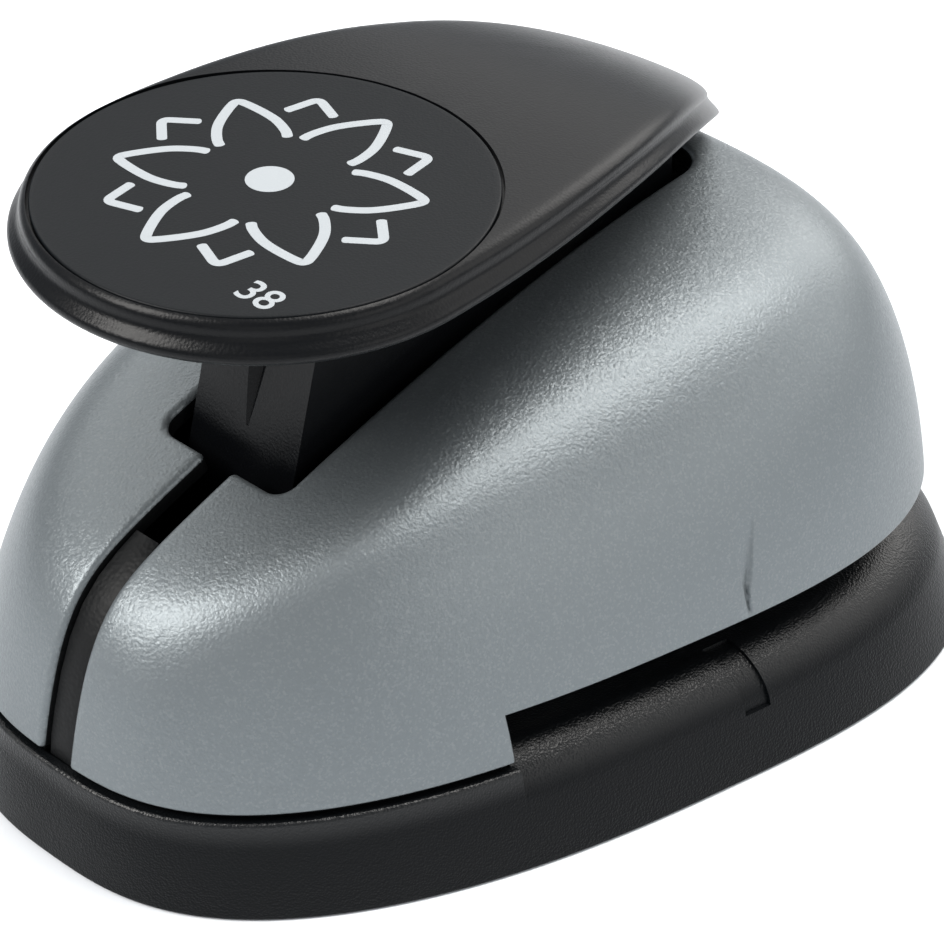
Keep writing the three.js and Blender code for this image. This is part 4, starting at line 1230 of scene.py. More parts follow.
    def pointer(self, grid: Points) -> Points:
        """Finds how deep the pointer's ramp is: it falls to the rear and ends in a step.

        Args:
            grid: Points of the surface.

        Returns:
            The depth at each point.
        """
        y, z = grid[..., 1], grid[..., 2]
        left, right, depth = (np.interp(z, *np.transpose(line)) for line in (
            self.pointer_left, self.pointer_right, self.pointer_depth))
        ramp = np.clip((y - left) / np.maximum(right - left, self.pointer_edge), 0, 1) ** self.pointer_power
        step = np.clip((right + self.pointer_edge - y) / self.pointer_edge, 0, 1)
        return depth * ramp * step * (z < self.pointer_depth[-1][0])

    def edge_loop(self, upper: Points, strip: Points) -> tuple[Points, Points]:
        """Joins the open edge of the half shell, from the tall end round.

        Args:
            upper: The upper grid.
            strip: The low strip.

        Returns:
            The edge's points and their roll radii.
        """
        rear_foot = upper[0, self.columns[0] :][::-1]
        notch = strip[:-1, -1][::-1]
        front_foot = strip[0, :-1][::-1]
        loop = np.concatenate([rear_foot, notch, front_foot, strip[1:-1, 0], upper[:, 0], upper[-1, 1:]])
        radii = np.full(len(loop), self.opening_roll)
        radii[: len(rear_foot) + len(notch) + len(front_foot) - 1] = self.foot_roll
        return loop, radii

    def ways_out(self, loop: Points, radii: Points) -> tuple[Points, ...]:
        """Finds the way out over the edge at each point, with a fan of ways at an outer corner.

        Args:
            loop: Points of the edge on the outer surface.
            radii: Radius of the roll at each point.

        Returns:
            The points, their unit normals, the ways and the radii.
        """
        steps = np.diff(loop, axis=0)
        found = []
        for i, (point, normal) in enumerate(zip(loop, self.dome.normal(loop))):
            before, after = steps[max(i - 1, 0)], steps[min(i, len(steps) - 1)]
            first, last = units(np.cross(normal, np.stack([before, after])))
            turn = float(first @ last)
            if turn < math.cos(math.radians(self.corner_turn)) and after @ first < 0:
                ahead = radii[min(i + 1, len(radii) - 1)]
                for share in np.linspace(0, 1, self.corner_fan):
                    angle = share * QUARTER_TURN
                    way = units(first * math.cos(angle) + last * math.sin(angle))
                    found.append((point, normal, way, radii[i - 1] + (ahead - radii[i - 1]) * share))
            else:
                way = units(first + last) / max(self.corner_limit, math.sqrt((1 + turn) / 2))
                found.append((point, normal, way, radii[i]))
        points, normals, ways, radius = (np.array(column) for column in zip(*found))
        ways[[0, -1]] = units(ways[[0, -1]] * (0, 1, 1))
        return points, normals, ways, radius[:, None]

    def roll(self, loop: Points, radii: Points) -> None:
        """Adds the rolled edge, the cut face of the wall and its inner corner along the edge loop.

        Args:
            loop: Points of the edge on the outer surface.
            radii: Radius of the roll at each point.
        """
        points, normals, ways, radius = self.ways_out(loop, radii)
        lines = [points + radius * (normals * (math.cos(t) - 1) + ways * math.sin(t))
                 for t in quarter(self.roll_steps)]
        lines += [points + radius * ways - normals * self.wall, points - normals * self.wall]
        for number, (near, far) in enumerate(zip(lines[:-1], lines[1:])):
            self.quads(far, near, Skin.LACQUER if number < self.roll_steps - 1 else Skin.BARE)

    def half(self) -> None:
        """Adds the right half: outer skin, inner skin and rolled edges."""
        upper, strip = self.grids()
        marked = upper - self.dome.normal(upper) * self.pointer(upper)[..., None]
        marked[0], marked[-1] = upper[0], upper[-1]
        for grid, outer in ((upper, marked), (strip, strip)):
            inner = grid - self.dome.normal(grid) * self.wall
            for row in range(len(grid) - 1):
                self.quads(outer[row], outer[row + 1], Skin.LACQUER)
                self.quads(inner[row + 1], inner[row], Skin.BARE)
        self.roll(*self.edge_loop(upper, strip))

    def lip(self) -> Shape:
        """Returns the lip under the low end's edge, which sits inside the base's rim."""
        low, high = self.tongue_z
        near, far = self.tongue_inset, self.wall + self.tongue_gap
        rings = []
        for inset, z in ((near, low), (near, high), (far, high), (far, low)):
            line = self.foot_line(max(z, self.dome.foot_z))
            line = line[line[:, 1] < self.notch_y - self.foot_roll]
            line = resampled(line, np.linspace(0, 1, self.tongue_count))
            ways = units(self.dome.normal(line + (0, 0, self.foot_roll)) * (1, 1, 0))
            line = line - ways * inset
            line[:, 2] = z
            rings.append(line)
        starts = [k * self.tongue_count for k in range(len(rings))]
        faces = [[a + i, a + i + 1, b + i + 1, b + i]
                 for a, b in zip(starts, starts[1:] + starts[:1]) for i in range(self.tongue_count - 1)]
        faces += [starts, [start + self.tongue_count - 1 for start in starts][::-1]]
        return np.concatenate(rings), faces

    def boss(self, x: float, y: float) -> Shape:
        """Makes a screw boss that stands down from the wall, with its hole.

        Args:
            x: X of its middle.
            y: Y of its middle.

        Returns:
            The vertices and the faces.
        """
        outer, inner = (circle(radius, x, y, self.boss_sides) for radius in (self.boss_radius, SCREW_HOLE))
        roof = self.dome.height(outer[:, 0], outer[:, 1]) - self.wall * self.boss_sink
        blind = self.boss_bottom + 2 * self.boss_radius
        return loft([raised(inner, blind), raised(inner, self.boss_bottom),
                     raised(outer, self.boss_bottom), raised(outer, roof)])

    def build(self) -> None:
        """Makes the shell from its right half."""
        self.half()
        self.island(self.lip())
        for x, y in SHELL_SCREWS:
            self.island(self.boss(x, y))
        right = np.concatenate(self.vertices)
        left = right * (-1, 1, 1)
        faces = self.faces + [[v + len(right) for v in f[::-1]] for f in self.faces]
        skins = [self.finishes.shell.material, self.finishes.frame.material]
        shell = mesh_object("shell_skin", np.concatenate([right, left]), faces, skins, self.skins * 2)
        smooth(shell, self.sharp_degrees)
        dress(shell, Body.FIXED, self.finishes.shell, ["upper_shell"], repaint=False)


# Lever


@dataclass(frozen=True)
class LeverForm:
    """The palm lever's top and outline: a round palm with a long tapering tail."""

    palm_radius: float = 25.4
    palm_top: float = 66.1
    tail_length: float = 68.8
    tail_power: float = 1.6
    tail_drop: float = 18.0
    drop_power: float = 3.4
    bend_y: float = -20.0
    crown: float = 1.5
    crown_margin: float = 4.0
    thin_share: float = 0.45
    tail_inset: float = 1.6
    edge: float = 4.8
    count: int = 260

    def plan(self, angle: Points, inset: float) -> tuple[Points, Points]:
        """Finds points of the outline.

        Args:
            angle: Angles from the low end.
            inset: How far the outline is drawn in.

        Returns:
            X and Y.
        """
        radius = self.palm_radius - inset
        cos, sin = np.cos(angle), np.sin(angle)
        tail = self.tail_length - inset * self.tail_inset
        x = np.where(cos >= 0, radius * sin, radius * signed_power(sin, self.tail_power))
        return x, PALM_Y + np.where(cos >= 0, -radius * cos, -tail * cos)

    def tail_share(self, y: Points) -> Points:
        """Returns how far towards the tail's end Y lies."""
        end = PALM_Y + self.tail_length
        return np.clip((y - self.bend_y) / (end - self.bend_y), 0, 1)

    def top(self, x: Points, y: Points) -> Points:
        """Finds the height of the lever's top.

        Args:
            x: X of each point.
            y: Y of each point.

        Returns:
            The heights.
        """
        along = np.clip((y - PALM_Y) / self.tail_length, 0, 1)
        half = self.palm_radius * (1 - along**2) ** (self.tail_power / 2) + self.crown_margin
        share = self.tail_share(y)
        crown = self.crown * np.minimum(1, (x / half) ** 2) * np.minimum(1, 2 * share)
        return self.palm_top - self.tail_drop * share**self.drop_power - crown

    def ring(self, inset: float, depth: float, spread: float = 1.0) -> Points:
        """Finds a closed ring under the top.

        Args:
            inset: How far the outline is drawn in.
            depth: Depth under the top.
            spread: Size of the ring as a share of the outline.

        Returns:
            The points.
        """
        angle = np.linspace(0, FULL_TURN, self.count, endpoint=False)
        edge_x, edge_y = self.plan(angle, inset)
        x, y = edge_x * spread, PALM_Y + (edge_y - PALM_Y) * spread
        thin = 1 - self.thin_share * self.tail_share(y)
        return np.stack([x, y, self.top(x, y) - depth * thin], 1)


@dataclass
class PalmLever:
    """The lever: a palm plate with a rolled, grooved edge, its hollow leg, its foot and its hub.

    Attributes:
        profile: Inset and depth of the rolled edge, from its underside to the top.
        spreads: The rings between the edge and the middle, as shares.
        web_sink: How far the web's top lies under the palm's top.
    """

    finishes: Finishes
    form: LeverForm = LeverForm()
    profile: Pairs = (
        (1.6, 4.8), (0.8, 4.68), (0.25, 4.3), (0.0, 3.75), (0.12, 3.25), (0.55, 2.8), (1.0, 2.35),
        (1.25, 1.85), (1.25, 1.35), (1.4, 0.85), (1.8, 0.42), (2.4, 0.16), (3.2, 0.03), (4.2, 0.0))
    spreads: tuple[float, ...] = (0.97, 0.93, 0.87, 0.78, 0.66, 0.54, 0.42, 0.3, 0.18, 0.08)
    lip: float = 5.0
    lip_step: float = 0.5
    lip_rise: float = 0.35
    under: float = 2.4
    disc_radius: float = 23.4
    disc_depth: float = 1.0
    leg_half: float = 7.5
    leg_wall: float = 1.8
    leg_front: float = -27.9
    leg_lean: float = 0.27
    leg_bottom: float = 29.5
    leg_rear: float = -15.0
    web_bottom: float = 31.1
    web_rear: float = 30.5
    web_sink: float = 1.7
    web_step: float = 0.6
    web_points: int = 40
    hub_radius: float = 5.0
    hub_half: float = 9.2
    foot: Pair = (5.0, 35.9)
    foot_radius: float = 6.0
    pin_hole: float = 2.15
    pin_reach: Pair = (-14.0, 14.0)
    groove_width: float = 5.4
    groove_depth: float = 2.6
    groove_z: Pair = (38.6, 58.0)
    groove_shares: tuple[float, float, int] = (0.04, 1.0, 10)
    groove_power: float = 0.85
    overrun: float = 4.0
    hub_sides: int = 96
    seat_sides: int = 192
    sharp_degrees: float = 38.0

    def plate(self) -> Shape:
        """Returns the palm plate."""
        ring, edge, lip = self.form.ring, self.form.edge, self.lip
        rings = [ring(lip, self.under, share) for share in self.spreads[::-1]]
        rings += [ring(lip, self.under), ring(lip - self.lip_step, edge - self.lip_rise),
                  ring(lip - 2 * self.lip_step, edge)]
        rings += [ring(float(inset), float(depth)) for inset, depth in rounded(self.profile, 3)]
        rings += [ring(self.profile[-1][0], 0, share) for share in self.spreads]
        return loft(rings)

    def web_top(self, y: float) -> float:
        """Returns the height of the web's top at Y."""
        return float(self.form.top(np.zeros(1), np.array([y]))[0]) - self.web_sink

    def web(self) -> Shape:
        """Returns the leg and the web behind it."""
        py, pz = PIVOT
        front_y = self.leg_front + (self.web_top(self.leg_front) - pz) * self.leg_lean
        hub_top = pz + self.hub_radius - self.web_step / 2
        outline = [(self.leg_front, self.leg_bottom), (self.leg_rear, self.leg_bottom),
                   (self.leg_rear + self.web_step, self.web_bottom), (py, self.web_bottom),
                   (py, hub_top), (self.web_rear, hub_top)]
        outline += [(y, self.web_top(y)) for y in np.linspace(self.web_rear, front_y, self.web_points)]
        outline.append((self.leg_front, pz))
        return prism(outline, -self.leg_half, self.leg_half, Axis.X)

    def groove(self) -> Shape:
        """Returns the wedge-shaped hollow down the front of the leg."""
        low, high = self.groove_z
        rings = []
        for share in np.linspace(*self.groove_shares):
            z = low + (high - low) * share
            face = self.leg_front + max(0.0, z - PIVOT[1]) * self.leg_lean
            wedge = share**self.groove_power
            half, depth = self.groove_width / 2 * wedge, self.groove_depth * wedge
            rings.append(np.array([(-half, face - self.overrun, z), (half, face - self.overrun, z),
                                   (half, face, z), (0, face + depth, z), (-half, face, z)]))
        return loft(rings)

    def hollows(self) -> list[Shape]:
        """Returns the two hollows between the leg's walls, before and behind its foot."""
        form, wall, inside = self.form, self.leg_wall, self.leg_half - self.leg_wall
        front, reach = self.leg_front + self.groove_depth + 3 * wall, self.foot_radius + wall
        return [
            box_shape((-inside, front, self.leg_bottom - self.overrun),
                      (inside, self.foot[0] - reach, form.palm_top - form.edge - wall)),
            box_shape((-inside, self.foot[0] + reach, self.web_bottom - self.overrun),
                      (inside, self.web_rear - 2 * wall, form.palm_top - form.tail_drop / 2 - form.edge))]

    def build(self) -> None:
        """Makes the lever with its hub, its foot, its hollows and its seat for the disc."""
        lever = mesh_object("lever_moulding", *self.plate())
        leg, hub = (-self.leg_half, self.leg_half), (-self.hub_half, self.hub_half)
        combine(lever, Join.ADD, self.web(), rod(self.hub_radius, PIVOT, hub, self.hub_sides, Axis.X),
                rod(self.foot_radius, self.foot, leg, self.hub_sides, Axis.X))
        seat = (self.form.palm_top - self.disc_depth, self.form.palm_top + self.overrun)
        combine(lever, Join.CUT, *self.hollows(), self.groove(),
                rod(self.disc_radius, (0, PALM_Y), seat, self.seat_sides),
                rod(self.pin_hole, PIVOT, self.pin_reach, axis=Axis.X))
        smooth(lever, self.sharp_degrees)
        dress(lever, Body.LEVER, self.finishes.lever, ["lever"])


@dataclass
class PalmDisc:
    """The inlaid disc with its flower and its size number in white print.

    Attributes:
        petal_line: Distance from the flower's middle and half width along one side of a petal.
        number_weight: How far the number's strokes are widened.
        capital_share: Height of a numeral as a share of the font's size.
    """

    finishes: Finishes
    radius: float = 23.1
    bottom: float = 65.1
    top: float = 65.8
    edge: float = 0.25
    spreads: tuple[float, ...] = (0.97, 0.6, 0.2)
    edge_steps: int = 4
    sides: int = 192
    flower_at: Pair = (-0.8, -21.4)
    petals: int = 6
    petal_turn: float = 28.0
    petal_line: Pairs = (
        (7.7, 3.45), (8.6, 3.5), (10.0, 3.3), (11.4, 2.9), (13.0, 2.1), (14.6, 1.1), (15.25, 0.62))
    petal_tip: float = 16.15
    petal_stroke: float = 1.1
    chevron_turn: float = -2.0
    chevron_tip: float = 16.3
    chevron_arm: float = 3.8
    chevron_lean: float = 39.5
    chevron_stroke: float = 1.05
    chevron_bend: float = 1.0
    petal_steps: int = 4
    dot_radius: float = 2.44
    dot_sides: int = 48
    stroke_end: float = 0.6
    bend_steps: int = 8
    ink_height: float = 0.03
    number: str = "38"
    number_at: Pair = (13.6, -38.1)
    number_height: float = 3.3
    number_weight: float = 0.04
    capital_share: float = 0.7

    def disc(self) -> None:
        """Makes the disc with its rounded edge."""
        turns = quarter(self.edge_steps)
        near, far = self.edge * (1 - np.sin(turns)), self.edge * (1 - np.cos(turns))
        line = [*zip(self.radius - near, self.bottom + far), *zip(self.radius - far, self.top - near)]
        line += [(self.radius * share, self.top) for share in self.spreads]
        disc = mesh_object("palm_disc_moulding", *turned(line, (0, PALM_Y), self.sides))
        smooth(disc)
        dress(disc, Body.LEVER, self.finishes.disc, ["palm_disc"])

    def stroke(self, line: Points, width: float) -> Shape:
        """Gives a line its width, round ends and the print's thickness.

        Args:
            line: The points of its middle.
            width: Width of the stroke.

        Returns:
            The vertices and the faces.
        """
        steps = units(np.diff(line, axis=0))
        sides = np.stack([-steps[:, 1], steps[:, 0]], 1)
        joined = units(np.vstack([sides[:1], sides[:-1] + sides[1:], sides[-1:]])) * width / 2
        turns = np.linspace(0, HALF_TURN, self.bend_steps + 1)[1:-1, None]
        caps = [place + width / 2 * (side * np.cos(turns) + way * np.sin(turns) * self.stroke_end)
                for place, way, side in ((line[-1], steps[-1], sides[-1]), (line[0], -steps[0], -sides[0]))]
        outline = np.vstack([line + joined, caps[0], (line - joined)[::-1], caps[1]])
        return prism(outline[::-1], self.top, self.top + self.ink_height)

    def corner(self, start: Points, tip: float, end: Points) -> Points:
        """Returns the points inside the round corner of a mark whose tip is on the X axis."""
        t = np.linspace(0, 1, self.bend_steps + 1)[1:-1, None]
        return bent(start, np.array([tip, 0]), end, t)

    def petal(self) -> Points:
        """Returns the middle line of a petal that points along X."""
        side = rounded(self.petal_line, self.petal_steps)
        mirrored = side[::-1] * (1, -1)
        return np.vstack([side, self.corner(side[-1], self.petal_tip, mirrored[0]), mirrored])

    def chevron(self) -> Points:
        """Returns the middle line of a chevron that points along X."""
        lean = math.radians(self.chevron_lean)
        arm = np.array([-math.cos(lean), math.sin(lean)])
        ends = [(self.chevron_tip, 0) + arm * (1, side) * reach
                for side, reach in ((1, self.chevron_arm), (1, self.chevron_bend),
                                    (-1, self.chevron_bend), (-1, self.chevron_arm))]
        return np.vstack([*ends[:2], self.corner(ends[1], self.chevron_tip, ends[2]), *ends[2:]])

    def print_flower(self) -> None:
        """Makes the printed flower: petals, chevrons between them and the dot."""
        film = (self.top, self.top + self.ink_height)
        shapes = [rod(self.dot_radius, self.flower_at, film, self.dot_sides)]
        marks = ((self.petal_turn, self.petal(), self.petal_stroke),
                 (self.chevron_turn, self.chevron(), self.chevron_stroke))
        for k in range(self.petals):
            for turn, line, width in marks:
                angle = math.radians(turn + 360 / self.petals * k)
                c, s = math.cos(angle), math.sin(angle)
                shapes.append(self.stroke(line @ np.array([[c, s], [-s, c]]) + self.flower_at, width))
        faces, used = [], 0
        for points, polygons in shapes:
            faces += [[v + used for v in f] for f in polygons]
            used += len(points)
        flower = mesh_object("flower_print", np.concatenate([points for points, _ in shapes]), faces)
        dress(flower, Body.LEVER, self.finishes.ink, [])

    def print_number(self) -> None:
        """Makes the printed size number."""
        text = bpy.data.curves.new("number", "FONT")
        text.body = self.number
        text.align_x = "CENTER"
        text.size = self.number_height * MM / self.capital_share
        text.extrude = self.ink_height * MM / 2
        text.offset = self.number_weight * MM
        maker = shown("number_maker", text)
        mesh = evaluated_mesh(maker)
        bpy.data.objects.remove(maker)
        place = Vector((*self.number_at, self.top + self.ink_height / 2)) * MM
        mesh.transform(Matrix.Translation(place))
        dress(shown("number_print", mesh), Body.LEVER, self.finishes.ink, [])

    def build(self) -> None:
        """Makes the disc and its print."""
        self.disc()
        self.print_flower()
        self.print_number()


# Cutting set and pivot


@dataclass(frozen=True)
class FlowerOutline:
    """The outline that the punch cuts: six petals with curved sides."""

    tip: float = 19.05
    valley: float = 9.4
    belly_share: float = 0.62
    petals: int = 6
    steps: int = 20

    def spot(self, radius: float, turn: float) -> Points:
        """Returns the place at a distance and an angle from the motif's middle."""
        return np.array([radius * math.cos(turn), MOTIF_Y + radius * math.sin(turn)])

    def at(self, offset: float = 0.0) -> Points:
        """Finds the outline.

        Args:
            offset: How far it is grown.

        Returns:
            The points.
        """
        tip, valley = self.tip + offset, self.valley + offset
        belly = valley + (tip - valley) * self.belly_share
        half = HALF_TURN / self.petals
        t = np.linspace(0, 1, self.steps, endpoint=False)[:, None]
        line = []
        for middle in (2 * half * petal for petal in range(self.petals)):
            low, high = (self.spot(valley, middle + side * half) for side in (-1, 1))
            top = self.spot(tip, middle)
            before, after = (self.spot(belly, middle + side * half * self.belly_share) for side in (-1, 1))
            line += [bent(low, before, top, t), bent(top, after, high, t)]
        return np.concatenate(line)


@dataclass
class CuttingSet:
    """The ground die in the base, the guide plate over the paper's gap, the spacer, and the sprung ram."""

    finishes: Finishes
    flower: FlowerOutline = FlowerOutline()
    die_half: float = 26.0
    die_corner: float = 3.7
    die_z: Pair = (10.8, 12.8)
    head_hole: float = 2.5
    head_seat: float = 11.5
    guide_half: Pairs = ((22.0, -40.0), (22.0, -26.0), (28.5, -14.0), (28.5, 26.0), (24.5, 30.0))
    guide_z: Pair = (14.6, 17.1)
    cutter_z: Pair = (15.1, 25.3)
    cutter_gap: float = -0.3
    cutter_hole_z: Pair = (18.3, 29.3)
    post_radius: float = 2.0
    post_z: Pair = (17.1, 34.1)
    chamfer: float = 0.35
    broken_edge: float = 0.12
    cast_edge: float = 0.3
    corner_steps: int = 12
    hole_sides: int = 40
    cutter_sharp_degrees: float = 25.0

    def die(self) -> None:
        """Makes the die with its flower and its countersunk holes."""
        outline = rounded_square(self.die_half, self.die_corner, self.corner_steps)
        die = mesh_object("die_plate_ground", *prism(outline, *self.die_z))
        combine(die, Join.CUT, prism(self.flower.at(), *THROUGH))
        for place in sorted(DIE_SCREWS):
            combine(die, Join.CUT, rod(SCREW_HOLE, place, THROUGH, self.hole_sides),
                    rod(self.head_hole, place, (self.head_seat, THROUGH[1]), self.hole_sides))
        dress(bevelled(die, self.broken_edge, 1), Body.FIXED, self.finishes.plate, ["die_plate"])

    def guide(self) -> None:
        """Makes the guide plate that strips the paper from the cutter."""
        outline = [*self.guide_half, *((-x, y) for x, y in self.guide_half[::-1])]
        guide = mesh_object("guide_plate_ground", *prism(outline, *self.guide_z))
        combine(guide, Join.CUT, prism(self.flower.at(), *THROUGH),
                *(rod(SCREW_HOLE, place, THROUGH, self.hole_sides) for place in both_sides(BASE_SCREWS)))
        dress(bevelled(guide, self.broken_edge, 1), Body.FIXED, self.finishes.plate, ["guide_plate"])

    def cutter(self) -> None:
        """Makes the flower-shaped cutter."""
        cutter = mesh_object("punch_cutter_ground", *prism(self.flower.at(self.cutter_gap), *self.cutter_z))
        combine(cutter, Join.CUT, *(rod(SCREW_HOLE, place, self.cutter_hole_z, self.hole_sides)
                                    for place in both_sides(CUTTER_SCREWS)))
        smooth(cutter, self.cutter_sharp_degrees)
        dress(cutter, Body.RAM, self.finishes.plate, ["punch_cutter"])

    def posts(self) -> None:
        """Makes the two guide posts with chamfered ends."""
        line = chamfered(self.post_radius, self.post_z, self.chamfer)
        for side, name in ((-1, "left"), (1, "right")):
            post = mesh_object(f"guide_post_drawn_{name}", *turned(line, (side * POST_X, MOTIF_Y)))
            smooth(post)
            dress(post, Body.FIXED, self.finishes.bright, [f"guide_post_{name}"])

    def build(self) -> None:
        """Makes the plates, the posts, the cutter and its holder."""
        self.die()
        self.guide()
        self.cutter()
        self.posts()
        spacer = refined("throat_spacer", "throat_spacer_moulding", self.broken_edge)
        dress(spacer, Body.FIXED, self.finishes.frame, ["throat_spacer"])
        holder = refined("punch_holder", "punch_holder_casting", self.cast_edge)
        dress(holder, Body.RAM, self.finishes.cast, ["punch_holder"])


@dataclass
class PivotFrame:
    """The black frame with the pivot's cheeks and the spine behind the slit, its pin and the two clips."""

    finishes: Finishes
    pin_radius: float = 2.0
    pin_x: Pair = (-14.9, 14.9)
    chamfer: float = 0.4
    frame_edge: float = 0.25
    clip_edge: float = 0.1

    def build(self) -> None:
        """Makes the frame, the pin with chamfered ends and the clips."""
        body = refined("inner_frame", "inner_frame_moulding", self.frame_edge)
        dress(body, Body.FIXED, self.finishes.frame, ["inner_frame"])
        line = chamfered(self.pin_radius, self.pin_x, self.chamfer)
        pin = mesh_object("pivot_pin_drawn", *turned(line, PIVOT, axis=Axis.X))
        smooth(pin)
        dress(pin, Body.FIXED, self.finishes.bright, ["pivot_pin"])
        for name in ("left", "right"):
            clip = refined(f"pin_clip_{name}", f"pin_clip_stamped_{name}", self.clip_edge)
            dress(clip, Body.FIXED, self.finishes.spring, [f"pin_clip_{name}"])


# Screws and springs


@dataclass(frozen=True)
class ScrewKind:
    """One kind of screw: a threaded shank under a head with a hexagonal socket.

    Attributes:
        name: Name of the group.
        seat: Height of the face under the head.
        tip: Height of the shank's end, above the seat for a screw that points up.
        head_radius: Radius of the head.
        head: Height of the head.
        places: X and Y of each screw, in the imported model's order.
        body: The body that they ride on.
        point: Share of the radius and distance from the end along the shank's point.
        neck: Length under the head without a thread.
        shoulder: Length under the head at full radius.
    """

    name: str
    seat: float
    tip: float
    head_radius: float
    head: float
    places: Pairs
    body: Body = Body.FIXED
    radius: float = 1.5
    thread_depth: float = 0.28
    pitch: float = 0.8
    point: Pairs = ((0.35, 0.0), (0.75, 0.5))
    neck: float = 1.4
    shoulder: float = 0.5
    socket_radius: float = 1.1
    socket: float = 1.0
    edge: float = 0.25
    edge_steps: int = 4
    sides: int = 28
    sharp_degrees: float = 28.0

    def line(self) -> list[Pair]:
        """Returns the screw's radius and height pairs, from the end of its shank up."""
        length, root = abs(self.tip - self.seat), self.radius - self.thread_depth
        line = [(self.radius * share, rise - length) for share, rise in self.point]
        z = self.pitch - length
        while z < -self.neck:
            line += [(root, z), (self.radius, z + self.pitch / 2)]
            z += self.pitch
        line += [(root, z), (self.radius, -self.shoulder), (self.radius, 0.0), (self.head_radius, 0.0)]
        turns = quarter(self.edge_steps)
        return line + [*zip(self.head_radius - self.edge * (1 - np.cos(turns)),
                            self.head - self.edge * (1 - np.sin(turns)))]

    def prototype(self) -> Object:
        """Makes one screw with the face under its head at the origin and its shank down."""
        screw = mesh_object(f"{self.name}_prototype", *turned(self.line(), (0, 0), self.sides))
        depth = min(self.socket, self.head / 2)
        socket = (self.head - depth, self.head + self.socket)
        combine(screw, Join.CUT, rod(self.socket_radius, (0, 0), socket, 6))
        if self.tip > self.seat:
            screw.data.transform(Matrix.Rotation(HALF_TURN, 4, "X"))
        smooth(screw, self.sharp_degrees)
        return screw


def repeating_tree(
    name: str,
    sizes: Names,
    shape: Callable[[NodeTree, Node], Socket],
) -> tuple[NodeTree, Names]:
    """Makes a Geometry Nodes tree that puts a shape on every point and gives it a finish.

    Args:
        name: The tree's name.
        sizes: Socket type of each input by its name, besides the points and the finish.
        shape: Adds the shape to the tree, and returns its output.

    Returns:
        The tree, and each input's identifier by its name.
    """
    tree = bpy.data.node_groups.new(name, "GeometryNodeTree")
    tree.interface.new_socket("Geometry", in_out="OUTPUT", socket_type="NodeSocketGeometry")
    kinds = {"Geometry": "NodeSocketGeometry", **sizes, "Finish": "NodeSocketMaterial"}
    names = {label: tree.interface.new_socket(label, in_out="INPUT", socket_type=kind).identifier
             for label, kind in kinds.items()}
    given = add(tree, "NodeGroupInput")
    spread = add(tree, "GeometryNodeInstanceOnPoints", inputs={
        "Points": (given, "Geometry"), "Instance": shape(tree, given)})
    real = add(tree, "GeometryNodeRealizeInstances", inputs={"Geometry": (spread, "Instances")})
    finish = add(tree, "GeometryNodeSetMaterial", inputs={
        "Geometry": (real, "Geometry"), "Material": (given, "Finish")})
    add(tree, "NodeGroupOutput", inputs={"Geometry": (finish, "Geometry")})
    return tree, names


def baked(name: str, points: Sequence, tree: NodeTree, values: dict[str, object]) -> Object:
    """Runs a tree on a set of points and keeps the mesh that comes out.

    Args:
        name: Name of the new piece.
        points: Rows of millimetre points that the tree starts from.
        tree: The Geometry Nodes tree.
        values: Value of each input by its identifier.

    Returns:
        The piece, with no modifier left.
    """
    piece = mesh_object(name, points, [])
    modifier = piece.modifiers.new("repeat", "NODES")
    modifier.node_group = tree
    for identifier, value in values.items():
        modifier[identifier] = value
    keep_evaluated(piece)
    return piece


@dataclass
class Screws:
    """All the screws, each kind spread over its places by one tree."""

    finishes: Finishes
    kinds: tuple[ScrewKind, ...] = (
        ScrewKind("base_screw", 3.2, 20.7, 2.7, 1.8, both_sides(BASE_SCREWS)),
        ScrewKind("shell_screw", 17.9, 24.2, 2.7, 0.8, both_sides(SHELL_SCREWS)),
        ScrewKind("die_screw", 11.8, 7.4, 2.2, 1.0, DIE_SCREWS),
        ScrewKind("cutter_screw", 26.7, 18.6, 2.7, 0.9, both_sides(CUTTER_SCREWS), Body.RAM))

    def given_screw(self, tree: NodeTree, given: Node) -> Socket:
        """Adds the screw that the tree is given."""
        screw = add(tree, "GeometryNodeObjectInfo", inputs={"Object": (given, "Screw"), "As Instance": True})
        return screw, "Geometry"

    def build(self) -> None:
        """Makes one piece for each kind of screw."""
        tree, names = repeating_tree("screws_on_points", {"Screw": "NodeSocketObject"}, self.given_screw)
        coat = self.finishes.screw
        for kind in self.kinds:
            prototype = kind.prototype()
            group = baked(f"{kind.name}s_plated", [(*place, kind.seat) for place in kind.places], tree, {
                names["Screw"]: prototype, names["Finish"]: coat.material})
            bpy.data.objects.remove(prototype)
            dress(group, kind.body, coat, [f"{kind.name}_{i + 1}" for i in range(len(kind.places))])


